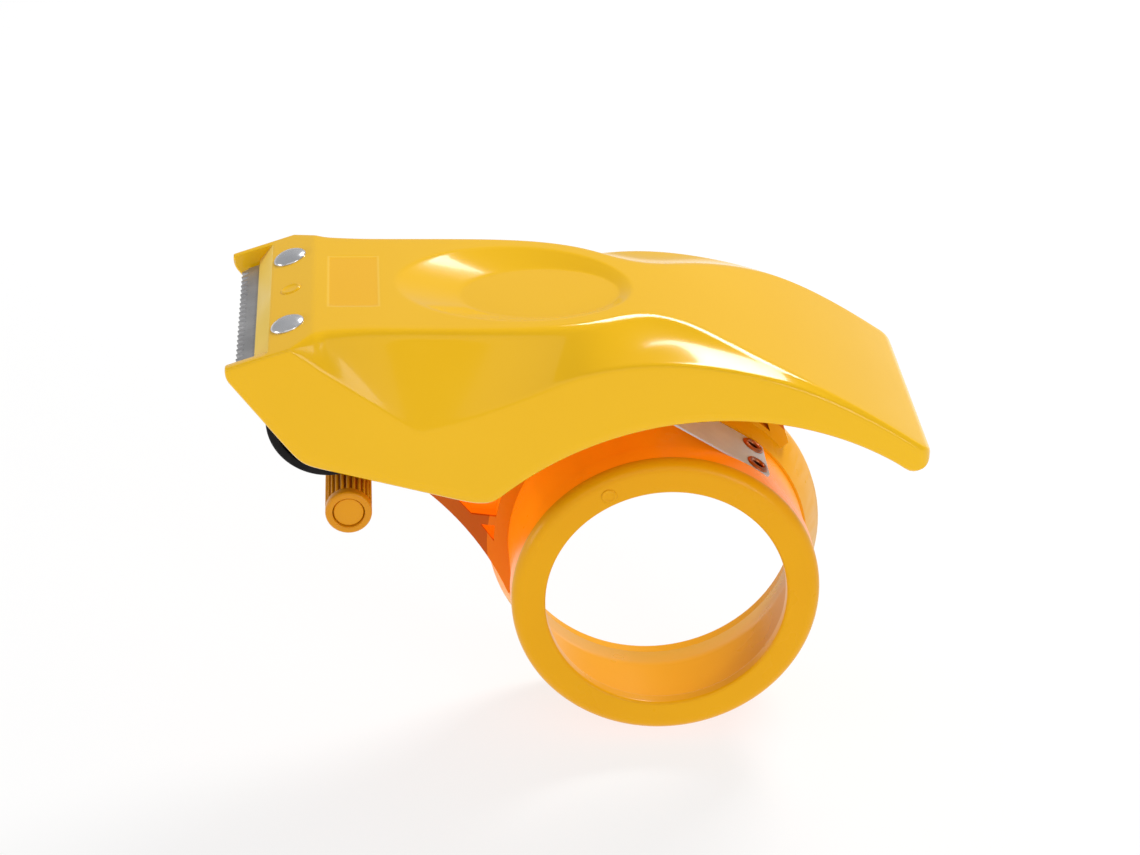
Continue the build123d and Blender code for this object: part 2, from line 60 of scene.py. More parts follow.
MM = 0.001
Pair = tuple[float, float]
Triple = tuple[float, float, float]
Tone = tuple[Triple, Triple]
PLAIN_GRAIN: Triple = (1.0, 1.0, 1.0)
GROUND_GRAIN: Triple = (1.0, 18.0, 1.0)
NOSE: Pair = (-82.4, 83.3)
NOSE_TILT = math.radians(17.5)
LEAF_ANGLE = math.radians(33.0)
LEAF_SEAT = 36.9


class Body(Enum):
    """The rigid bodies of the frame."""

    BODY = "body"
    ROLLER = "roller"
    GUIDE = "guide"
    LEAF = "leaf"


# ---------------------------------------------------------------- small geometry helpers


@dataclass(frozen=True)
class GuideLine:
    """A smooth line through a few points: its second number as a function of its first."""

    points: tuple[Pair, ...]

    def at(self, x: np.ndarray) -> np.ndarray:
        """Height of the line at x, by a natural cubic spline that goes on straight past its ends.

        Args:
            x: places along the line.

        Returns:
            The line's value at each place.
        """
        xs, ys = np.array(self.points, float).T
        gap = np.diff(xs)
        count = len(xs)
        system = np.eye(count)
        right = np.zeros(count)
        for row in range(1, count - 1):
            system[row, row - 1 : row + 2] = (gap[row - 1], 2 * (gap[row - 1] + gap[row]), gap[row])
            right[row] = 6 * ((ys[row + 1] - ys[row]) / gap[row] - (ys[row] - ys[row - 1]) / gap[row - 1])
        bend = np.linalg.solve(system, right)
        x = np.asarray(x, float)
        inside = np.clip(x, xs[0], xs[-1])
        span = np.clip(np.searchsorted(xs, inside) - 1, 0, count - 2)
        h = gap[span]
        a = (xs[span + 1] - inside) / h
        b = (inside - xs[span]) / h
        value = a * ys[span] + b * ys[span + 1]
        value += ((a**3 - a) * bend[span] + (b**3 - b) * bend[span + 1]) * h * h / 6
        first = (ys[1] - ys[0]) / gap[0] - gap[0] * bend[1] / 6
        last = (ys[-1] - ys[-2]) / gap[-1] + gap[-1] * bend[-2] / 6
        return value + np.minimum(x - xs[0], 0) * first + np.maximum(x - xs[-1], 0) * last


def soft_max(a: np.ndarray, b: np.ndarray, width: float) -> np.ndarray:
    """The larger of two values, rounded over where they cross."""
    return np.logaddexp(np.asarray(a) / width, np.asarray(b) / width) * width


def soft_min(a: np.ndarray, b: np.ndarray, width: float) -> np.ndarray:
    """The smaller of two values, rounded over where they cross."""
    return -soft_max(-np.asarray(a), -np.asarray(b), width)


def ease(t: np.ndarray) -> np.ndarray:
    """Smooth step from 0 to 1."""
    t = np.clip(t, 0, 1)
    return t * t * (3 - 2 * t)


def new_piece(name: str, points: list | np.ndarray, faces: list) -> bpy.types.Object:
    """Makes a smooth-shaded mesh object from points in millimetres.

    Args:
        name: the piece's name.
        points: its points, in millimetres in the frame's axes.
        faces: its faces as tuples of point numbers.

    Returns:
        The new object, with its normals pointing outwards.
    """
    mesh = bpy.data.meshes.new(name)
    mesh.from_pydata([tuple(float(c) * MM for c in p) for p in points], [], faces)
    work = bmesh.new()
    work.from_mesh(mesh)
    bmesh.ops.remove_doubles(work, verts=work.verts, dist=1e-7)
    bmesh.ops.dissolve_degenerate(work, edges=work.edges, dist=1e-8)
    bmesh.ops.recalc_face_normals(work, faces=work.faces)
    work.to_mesh(mesh)
    work.free()
    mesh.shade_smooth()
    piece = bpy.data.objects.new(name, mesh)
    bpy.context.scene.collection.objects.link(piece)
    return piece


def nose_directions() -> tuple[Vector, Vector]:
    """Direction up the nose's slope and its outward normal."""
    cos, sin = math.cos(NOSE_TILT), math.sin(NOSE_TILT)
    return Vector((cos, 0, sin)), Vector((-sin, 0, cos))


def stand(piece: bpy.types.Object, along: Vector, up: Vector, seat: Vector = Vector()) -> bpy.types.Object:
    """Turns a piece lathed round Y so that its axis points another way.

    Args:
        piece: the turned piece.
        along: new direction of its X.
        up: new direction of its axis.
        seat: where its middle goes, in metres.

    Returns:
        The piece, with its normals pointing outwards.
    """
    turn = Matrix((along, up, Vector((0, -1, 0)))).transposed().to_4x4()
    piece.data.transform(Matrix.Translation(seat) @ turn)
    work = bmesh.new()
    work.from_mesh(piece.data)
    bmesh.ops.recalc_face_normals(work, faces=work.faces)
    work.to_mesh(piece.data)
    work.free()
    return piece


def settle(piece: bpy.types.Object) -> bpy.types.Object:
    """Turns a piece's modifiers into plain mesh."""
    bpy.context.view_layer.update()
    seen = piece.evaluated_get(bpy.context.evaluated_depsgraph_get())
    mesh = bpy.data.meshes.new_from_object(seen)
    piece.modifiers.clear()
    piece.data = mesh
    return piece


def soften(piece: bpy.types.Object, width: float, steps: int = 2, angle: float = 32.0) -> bpy.types.Object:
    """Rounds a piece's sharp edges and shades it smooth between them.

    Args:
        piece: the piece.
        width: width of the rounding, in millimetres.
        steps: faces across the rounding.
        angle: edges sharper than this many degrees are rounded.

    Returns:
        The piece.
    """
    bevel = piece.modifiers.new("rounding", "BEVEL")
    bevel.width = width * MM
    bevel.segments = steps
    bevel.limit_method = "ANGLE"
    bevel.angle_limit = math.radians(angle)
    bevel.harden_normals = True
    return settle(piece)


def lathe(
    name: str, profile: list[Pair], segments: int, axis_at: Pair = (0.0, 0.0), closed: bool = True
) -> bpy.types.Object:
    """Turns a profile round an axis that runs along Y.

    Args:
        name: the piece's name.
        profile: radius and Y of each point, in millimetres.
        segments: faces round the axis.
        axis_at: X and Z of the axis.
        closed: the profile's last point joins its first.

    Returns:
        The turned piece.
    """
    points = []
    for step in range(segments):
        turn = 2 * math.pi * step / segments
        for radius, y in profile:
            points.append((axis_at[0] + radius * math.cos(turn), y, axis_at[1] + radius * math.sin(turn)))
    count = len(profile)
    faces = []
    for step in range(segments):
        after = (step + 1) % segments
        for k in range(count if closed else count - 1):
            m = (k + 1) % count
            faces.append((step * count + k, step * count + m, after * count + m, after * count + k))
    return new_piece(name, points, faces)


def rounded_profile(corners: list[tuple[float, float, float]], steps: int = 5) -> list[Pair]:
    """Closed outline with each corner rounded.

    Args:
        corners: radius, Y and rounding of each corner.
        steps: points in each rounding.

    Returns:
        The outline's points.
    """
    outline: list[Pair] = []
    count = len(corners)
    for k, (r, y, rounding) in enumerate(corners):
        here = Vector((r, y))
        if rounding <= 0:
            outline.append((r, y))
            continue
        before = (Vector(corners[k - 1][:2]) - here).normalized()
        after = (Vector(corners[(k + 1) % count][:2]) - here).normalized()
        half = before.angle(after) / 2
        reach = rounding / math.tan(half)
        a, b = here + before * reach, here + after * reach
        middle = here + (before + after).normalized() * (rounding / math.sin(half))
        start, end = a - middle, b - middle
        for s in range(steps + 1):
            spoke = start.lerp(end, s / steps)
            spoke = spoke.normalized() * rounding
            outline.append((middle.x + spoke.x, middle.y + spoke.y))
    return outline


def prism(
    name: str, outline: list[Pair], origin: Vector, along: Vector, sideways: Vector, depth: Vector
) -> bpy.types.Object:
    """Flat plate of an outline, as thick as a depth vector.

    Args:
        name: the piece's name.
        outline: the outline's points in the plane.
        origin: the plane's origin, in millimetres.
        along: direction of the outline's first number.
        sideways: direction of its second number.
        depth: from the first face to the second.

    Returns:
        The plate.
    """
    near = [origin + along * u + sideways * v for u, v in outline]
    far = [p + depth for p in near]
    count = len(outline)
    faces = [tuple(range(count)), tuple(range(2 * count - 1, count - 1, -1))]
    faces += [(k, (k + 1) % count, (k + 1) % count + count, k + count) for k in range(count)]
    return new_piece(name, near + far, faces)


# ---------------------------------------------------------------- repeats made with Geometry Nodes


class Repeat(Enum):
    """How a Geometry Nodes tree repeats a piece."""

    ROW = "row"
    RING = "ring"


@dataclass
class Repeater:
    """Geometry Nodes tree that repeats a mesh in a row, or in a ring round an axis along Y."""

    kind: Repeat
    tree: bpy.types.NodeTree = field(init=False)

    def __post_init__(self) -> None:
        """Builds the tree with its named inputs."""
        self.tree = bpy.data.node_groups.new(f"repeat in a {self.kind.value}", "GeometryNodeTree")
        sockets = self.tree.interface
        for name, kind in (("Piece", "Geometry"), ("Count", "Int"), ("Start", "Vector"), ("Step", "Vector"),
                           ("Finish", "Material")):
            sockets.new_socket(name, in_out="INPUT", socket_type=f"NodeSocket{kind}")
        sockets.new_socket("Pieces", in_out="OUTPUT", socket_type="NodeSocketGeometry")
        nodes, links = self.tree.nodes, self.tree.links
        given = nodes.new("NodeGroupInput")
        line = nodes.new("GeometryNodeMeshLine")
        line.mode = "OFFSET"
        place = nodes.new("GeometryNodeInstanceOnPoints")
        real = nodes.new("GeometryNodeRealizeInstances")
        paint = nodes.new("GeometryNodeSetMaterial")
        out = nodes.new("NodeGroupOutput")
        links.new(given.outputs["Count"], line.inputs["Count"])
        links.new(given.outputs["Start"], line.inputs["Start Location"])
        links.new(line.outputs["Mesh"], place.inputs["Points"])
        links.new(given.outputs["Piece"], place.inputs["Instance"])
        if self.kind is Repeat.ROW:
            links.new(given.outputs["Step"], line.inputs["Offset"])
        else:
            line.inputs["Offset"].default_value = (0, 0, 0)
            number = nodes.new("GeometryNodeInputIndex")
            turn = nodes.new("ShaderNodeVectorMath")
            turn.operation = "SCALE"
            links.new(given.outputs["Step"], turn.inputs[0])
            links.new(number.outputs["Index"], turn.inputs["Scale"])
            links.new(turn.outputs["Vector"], place.inputs["Rotation"])
        links.new(place.outputs["Instances"], real.inputs["Geometry"])
        links.new(real.outputs["Geometry"], paint.inputs["Geometry"])
        links.new(given.outputs["Finish"], paint.inputs["Material"])
        links.new(paint.outputs["Geometry"], out.inputs["Pieces"])

    def apply(
        self, piece: bpy.types.Object, count: int, start: Triple, step: Triple, finish: bpy.types.Material
    ) -> bpy.types.Object:
        """Repeats a piece and turns the result into a plain mesh.

        Args:
            piece: the mesh to repeat.
            count: how many there are.
            start: place of the first, in metres.
            step: from one to the next, in metres, or as a turn in radians.
            finish: the material of all of them.

        Returns:
            The piece, now holding every copy.
        """
        change = piece.modifiers.new("repeats", "NODES")
        change.node_group = self.tree
        values = {"Count": count, "Start": start, "Step": step, "Finish": finish}
        for item in self.tree.interface.items_tree:
            if item.in_out == "INPUT" and item.name in values:
                change[item.identifier] = values[item.name]
        return settle(piece)


# ---------------------------------------------------------------- finishes


class Wiring:
    """Short ways to add nodes to a material."""

    def __init__(self, name: str) -> None:
        """Starts a material with one Principled shader."""
        self.material = bpy.data.materials.new(name)
        self.material.use_nodes = True
        self.nodes = self.material.node_tree.nodes
        self.links = self.material.node_tree.links
        self.shader = self.nodes["Principled BSDF"]
        self.place = self.nodes.new("ShaderNodeTexCoord").outputs["Object"]

    def noise(self, scale: float, detail: float = 4.0, stretch: Triple = (1, 1, 1)) -> bpy.types.NodeSocket:
        """Noise on object coordinates.

        Args:
            scale: cycles in each metre.
            detail: octaves.
            stretch: how much finer the noise is along each axis.

        Returns:
            The noise's value socket.
        """
        mapping = self.nodes.new("ShaderNodeMapping")
        mapping.inputs["Scale"].default_value = stretch
        self.links.new(self.place, mapping.inputs["Vector"])
        grain = self.nodes.new("ShaderNodeTexNoise")
        grain.inputs["Scale"].default_value = scale
        grain.inputs["Detail"].default_value = detail
        self.links.new(mapping.outputs["Vector"], grain.inputs["Vector"])
        return grain.outputs["Fac"]

    def spread(self, value: bpy.types.NodeSocket, low: float, high: float, start: float = 0.3,
               end: float = 0.7) -> bpy.types.NodeSocket:
        """Maps a value's range start..end onto low..high."""
        ranged = self.nodes.new("ShaderNodeMapRange")
        ranged.inputs["From Min"].default_value = start
        ranged.inputs["From Max"].default_value = end
        ranged.inputs["To Min"].default_value = low
        ranged.inputs["To Max"].default_value = high
        self.links.new(value, ranged.inputs["Value"])
        return ranged.outputs["Result"]

    def math(self, kind: str, a: bpy.types.NodeSocket | float, b: bpy.types.NodeSocket | float = 0.0
             ) -> bpy.types.NodeSocket:
        """One Math node on two sockets or numbers."""
        node = self.nodes.new("ShaderNodeMath")
        node.operation = kind
        for socket, value in zip(node.inputs, (a, b)):
            if isinstance(value, bpy.types.NodeSocket):
                self.links.new(value, socket)
            else:
                socket.default_value = value
        return node.outputs["Value"]

    def mix(self, share: bpy.types.NodeSocket, first: Triple | bpy.types.NodeSocket,
            second: Triple | bpy.types.NodeSocket) -> bpy.types.NodeSocket:
        """Mixes two colours by a share."""
        node = self.nodes.new("ShaderNodeMix")
        node.data_type = "RGBA"
        self.links.new(share, node.inputs["Factor"])
        for name, value in (("A", first), ("B", second)):
            socket = next(s for s in node.inputs if s.name == name and s.type == "RGBA")
            if isinstance(value, bpy.types.NodeSocket):
                self.links.new(value, socket)
            else:
                socket.default_value = (*value, 1.0)
        return next(s for s in node.outputs if s.type == "RGBA")

    def axes(self) -> tuple[bpy.types.NodeSocket, bpy.types.NodeSocket, bpy.types.NodeSocket]:
        """The object coordinates' X, Y and Z."""
        parts = self.nodes.new("ShaderNodeSeparateXYZ")
        self.links.new(self.place, parts.inputs["Vector"])
        return parts.outputs["X"], parts.outputs["Y"], parts.outputs["Z"]

    def times(self, a: bpy.types.NodeSocket, b: bpy.types.NodeSocket | float) -> bpy.types.NodeSocket:
        """One socket times a second or a number."""
        return self.math("MULTIPLY", a, b)

    def over(self, a: bpy.types.NodeSocket, limit: float) -> bpy.types.NodeSocket:
        """1 where a socket is over a limit, else 0."""
        return self.math("GREATER_THAN", a, limit)

    def under(self, a: bpy.types.NodeSocket, limit: float) -> bpy.types.NodeSocket:
        """1 where a socket is under a limit, else 0."""
        return self.math("LESS_THAN", a, limit)

    def hub_distance(self) -> bpy.types.NodeSocket:
        """Distance from the hub's axis."""
        x, _, z = self.axes()
        return self.math("SQRT", self.math("ADD", self.times(x, x), self.times(z, z)))

    def recolour(self, share: bpy.types.NodeSocket, colour: Triple, shade: Triple) -> None:
        """Paints a share of the surface in a second colour, with the same flow marks."""
        base = self.shader.inputs["Base Color"]
        plain = base.links[0].from_socket
        flow = self.spread(self.noise(30.0, 3.0), 0.0, 1.0)
        self.links.new(self.mix(share, plain, self.mix(flow, colour, shade)), base)

    def paint_glow(self, share: bpy.types.NodeSocket, strength: float) -> None:
        """Painted glow: emission in the surface's own colour over a share of it, painted light that
        brightens plastic in shade.
        """
        base = self.shader.inputs["Base Color"].links[0].from_socket
        self.links.new(base, self.shader.inputs["Emission Color"])
        self.links.new(self.times(share, strength), self.shader.inputs["Emission Strength"])

    def bump(self, height: bpy.types.NodeSocket, distance: float, strength: float = 1.0) -> None:
        """Adds relief to the shader, on top of any it has."""
        node = self.nodes.new("ShaderNodeBump")
        node.inputs["Distance"].default_value = distance
        node.inputs["Strength"].default_value = strength
        self.links.new(height, node.inputs["Height"])
        normal = self.shader.inputs["Normal"]
        if normal.is_linked:
            self.links.new(normal.links[0].from_socket, node.inputs["Normal"])
        self.links.new(node.outputs["Normal"], normal)


@dataclass(frozen=True)
class MouldedPlastic:
    """Glossy injection-moulded plastic, with faint flow marks and handling haze."""

    name: str
    colour: Triple
    shade: Triple
    roughness: float = 0.22
    coat: float = 0.35
    gloss: float = 0.22

    def make(self) -> Wiring:
        """Builds the material.

        Returns:
            Its wiring, for further marks.
        """
        w = Wiring(self.name)
        flow = w.spread(w.noise(22.0, 3.0, (1.0, 0.5, 1.4)), 0.0, 1.0)
        w.links.new(w.mix(flow, self.colour, self.shade), w.shader.inputs["Base Color"])
        haze = w.spread(w.noise(60.0, 3.0), self.roughness - 0.02, self.roughness + 0.03)
        w.links.new(haze, w.shader.inputs["Roughness"])
        w.shader.inputs["Coat Weight"].default_value = self.coat
        w.shader.inputs["Coat Roughness"].default_value = 0.03
        w.shader.inputs["Specular IOR Level"].default_value = self.gloss
        w.bump(w.noise(420.0, 2.0), 0.00001, 0.15)
        return w


@dataclass(frozen=True)
class BrushedMetal:
    """Rolled or ground metal with fine lines along one direction."""

    name: str
    colour: Triple
    stain: Triple
    roughness: float = 0.3
    lines: Triple = GROUND_GRAIN
    metal: float = 1.0

    def make(self) -> Wiring:
        """Builds the material and returns its wiring."""
        w = Wiring(self.name)
        cloud = w.spread(w.noise(130.0, 5.0), 0.0, 1.0)
        w.links.new(w.mix(cloud, self.colour, self.stain), w.shader.inputs["Base Color"])
        w.shader.inputs["Metallic"].default_value = self.metal
        grain = w.noise(500.0, 4.0, self.lines)
        polish = w.spread(grain, self.roughness - 0.08, self.roughness + 0.12)
        w.links.new(polish, w.shader.inputs["Roughness"])
        w.bump(grain, 0.00002, 0.6)
        return w


@dataclass(frozen=True)
class SoftRubber:
    """Matt rubber with a dusty bloom."""

    name: str
    colour: Triple
    bloom: Triple

    def make(self) -> Wiring:
        """Builds the material and returns its wiring."""
        w = Wiring(self.name)
        dust = w.spread(w.noise(260.0, 7.0), 0.0, 0.6, 0.4, 0.8)
        w.links.new(w.mix(dust, self.colour, self.bloom), w.shader.inputs["Base Color"])
        w.links.new(w.spread(w.noise(600.0, 3.0), 0.62, 0.82), w.shader.inputs["Roughness"])
        w.shader.inputs["Specular IOR Level"].default_value = 0.2
        w.bump(w.noise(1500.0, 3.0), 0.00004, 0.6)
        return w


@dataclass(frozen=True)
class ColourZones:
    """Where the frame's and the hub's colours change, in metres: from the hub's axis, and along Y. The
    frame's and the drum's orange is painted shade, the rib faces' darker tone is painted shade, and the
    glows are painted light.

    Right and below are lines through the axis past which the cone shows: slope, and width of the blend.
    """

    cone_r: float = 0.0434
    bore_r: float = 0.0368
    collar_r: float = 0.0424
    pocket_r: float = 0.0385
    rib_face_y: float = 0.0226
    pocket_y: Pair = (0.0228, 0.0275)
    drum_r: float = 0.0366
    drum_y: float = -0.0056
    pocket_painted_glow: float = 0.34
    drum_painted_glow: float = 0.30
    right: Pair = (80.0 / 14.0, 0.015)
    below: Pair = (44.0 / 90.0, 0.004)


class Finishes:
    """All finishes of the dispenser, made once and shared."""

    def __init__(self) -> None:
        """Builds every material."""
        self.zones = ColourZones()
        hood = MouldedPlastic("hood_yellow", (0.88, 0.50, 0.006), (0.86, 0.480, 0.004), 0.13, 0.15)
        self.hood_wiring = hood.make()
        self.hood = self.hood_wiring.material
        # The lip's finish is painted light: the hood's own yellow made lighter, as its face looks where it
        # catches the light.
        self.lip = MouldedPlastic(
            "hood_yellow_lip_painted_light", (0.94, 0.66, 0.13), (0.92, 0.64, 0.12), 0.40, 0.0, 0.35).make().material
        # Amber is the plastic's own colour; orange is painted shade, the deeper tone of that plastic in
        # shade under the hood and on the far plate; the third tone is a darker painted shade for the ribs'
        # faces.
        amber: Tone = (0.82, 0.40, 0.004), (0.79, 0.37, 0.003)
        orange: Tone = (0.90, 0.262, 0.003), (0.87, 0.238, 0.002)
        rib_shade_orange: Tone = (0.60, 0.135, 0.003), (0.56, 0.12, 0.002)
        self.frame = self.frame_plastic(orange, amber, rib_shade_orange)
        self.hub = self.hub_plastic(amber, orange)
        self.sleeve = MouldedPlastic(
            "sleeve_amber", (0.74, 0.30, 0.005), (0.68, 0.26, 0.004), 0.30, 0.05).make().material
        self.pin = MouldedPlastic(
            "pin_amber", (0.78, 0.33, 0.004), (0.74, 0.30, 0.003), 0.28, 0.05).make().material
        self.blade = BrushedMetal(
            "blade_steel", (0.42, 0.42, 0.43), (0.30, 0.30, 0.31), 0.34, GROUND_GRAIN, 0.6).make().material
        self.leaf = BrushedMetal(
            "spring_steel", (0.62, 0.73, 0.84), (0.52, 0.61, 0.71), 0.42, GROUND_GRAIN, 0.15).make().material
        self.rivet = BrushedMetal(
            "rivet_nickel", (0.74, 0.75, 0.78), (0.60, 0.61, 0.64), 0.22, PLAIN_GRAIN, 0.85).make().material
        self.plain = BrushedMetal(
            "plain_steel", (0.50, 0.50, 0.50), (0.42, 0.42, 0.42), 0.38, PLAIN_GRAIN).make().material
        self.copper = BrushedMetal(
            "copper_plate", (0.50, 0.17, 0.075), (0.36, 0.11, 0.05), 0.30, PLAIN_GRAIN).make().material
        # Near-black discs set in the eyelets' holes: painted shade.
        self.eyelet_shade = BrushedMetal(
            "eyelet_painted_shade", (0.05, 0.02, 0.012), (0.03, 0.012, 0.008), 0.5, PLAIN_GRAIN).make().material
        self.rubber = SoftRubber("tyre_rubber", (0.006, 0.005, 0.006), (0.02, 0.018, 0.018)).make().material
        self.core = MouldedPlastic(
            "core_black", (0.012, 0.012, 0.012), (0.02, 0.02, 0.02), 0.5, 0.0).make().material
        self.bush = MouldedPlastic(
            "bush_white", (0.55, 0.55, 0.52), (0.48, 0.48, 0.45), 0.4, 0.0).make().material

    def frame_plastic(self, plate: Tone, cone: Tone, rib_face: Tone) -> bpy.types.Material:
        """Frame plastic: the plate in orange painted shade, with the cone and the bore in the hub's amber;
        the ribs' faces get a darker painted shade and the pocket floors a painted glow.

        Args:
            plate: the plate's painted-shade orange and second tone.
            cone: the cone's.
            rib_face: the ribs' thick faces' darker painted shade.

        Returns:
            The material.
        """
        zones = self.zones
        w = MouldedPlastic("frame_orange", *plate, 0.28, 0.04, 0.14).make()
        x, y, z = w.axes()
        right, below = (
            w.spread(w.math("SUBTRACT", w.times(x, slope), z), 0.0, 1.0, -blend, blend)
            for slope, blend in (zones.right, zones.below))
        reach = w.hub_distance()
        cone_part = w.times(w.under(reach, zones.cone_r), w.math("MAXIMUM", right, below))
        amber_part = w.math("MAXIMUM", cone_part, w.under(reach, zones.bore_r))
        w.recolour(amber_part, *cone)
        # Everything outside the amber is orange painted shade.
        shade_orange_part = w.math("SUBTRACT", 1.0, amber_part)
        beyond_hub = w.over(reach, zones.collar_r)
        # The ribs' faces beyond the hub get a darker painted shade.
        w.recolour(w.times(w.times(shade_orange_part, beyond_hub), w.under(y, zones.rib_face_y)), *rib_face)
        # Pocket floors get a painted glow: emission standing in for light.
        beside_hub = w.times(shade_orange_part, w.over(reach, zones.pocket_r))
        pocket_glow_part = w.times(w.over(y, zones.pocket_y[0]), w.under(y, zones.pocket_y[1]))
        pocket_glow_part = w.times(pocket_glow_part, w.math("MAXIMUM", beyond_hub, beside_hub))
        w.paint_glow(pocket_glow_part, zones.pocket_painted_glow)
        return w.material

    def hub_plastic(self, rim: Tone, drum: Tone) -> bpy.types.Material:
        """Hub plastic: amber rim and bore; the drum's orange is painted shade, with a painted glow on it.

        Args:
            rim: the rim's colour and second tone.
            drum: the drum's painted-shade orange.

        Returns:
            The material.
        """
        w = MouldedPlastic("hub_amber", *rim, 0.28, 0.04, 0.14).make()
        _, y, _ = w.axes()
        # The drum outside the rim gets orange painted shade and a painted glow.
        drum_shade_glow_part = w.times(w.over(w.hub_distance(), self.zones.drum_r), w.over(y, self.zones.drum_y))
        w.recolour(drum_shade_glow_part, *drum)
        w.paint_glow(drum_shade_glow_part, self.zones.drum_painted_glow)
        return w.material


def dress(piece: bpy.types.Object, finish: bpy.types.Material) -> bpy.types.Object:
    """Gives a piece one material."""
    piece.data.materials.clear()
    piece.data.materials.append(finish)
    return piece


def join_frame(piece: bpy.types.Object, body: Body, slot: str, *nodes: str) -> None:
    """Puts a finished piece into the frame.

    Args:
        piece: the piece.
        body: the body that it moves with.
        slot: name of the record's material slot; not used.
        nodes: the CAD nodes that it stands for.
    """
    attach(piece, body.value)
    if nodes:
        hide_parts(*nodes)
    log.info("%s rides on %s, %d faces", piece.name, body.value, len(piece.data.polygons))


def rounded_copy(node: str, name: str, width: float) -> bpy.types.Object:
    """Copy of a CAD node with its sharp edges rounded.

    Args:
        node: the CAD node.
        name: the copy's name.
        width: width of the rounding, in millimetres.

    Returns:
        The rounded copy.
    """
    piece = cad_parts[node].copy()
    piece.data = piece.data.copy()
    piece.name = name
    piece.parent = None
    for mark in list(piece.keys()):
        del piece[mark]
    bpy.context.scene.collection.objects.link(piece)
    work = bmesh.new()
    work.from_mesh(piece.data)
    bmesh.ops.remove_doubles(work, verts=work.verts, dist=2e-6)
    bmesh.ops.dissolve_limit(work, angle_limit=math.radians(1.0), verts=work.verts, edges=work.edges)
    work.to_mesh(piece.data)
    work.free()
    if piece.data.has_custom_normals:
        piece.data.attributes.remove(piece.data.attributes["custom_normal"])
    piece.data.shade_smooth()
    return soften(piece, width)


# ---------------------------------------------------------------- hood


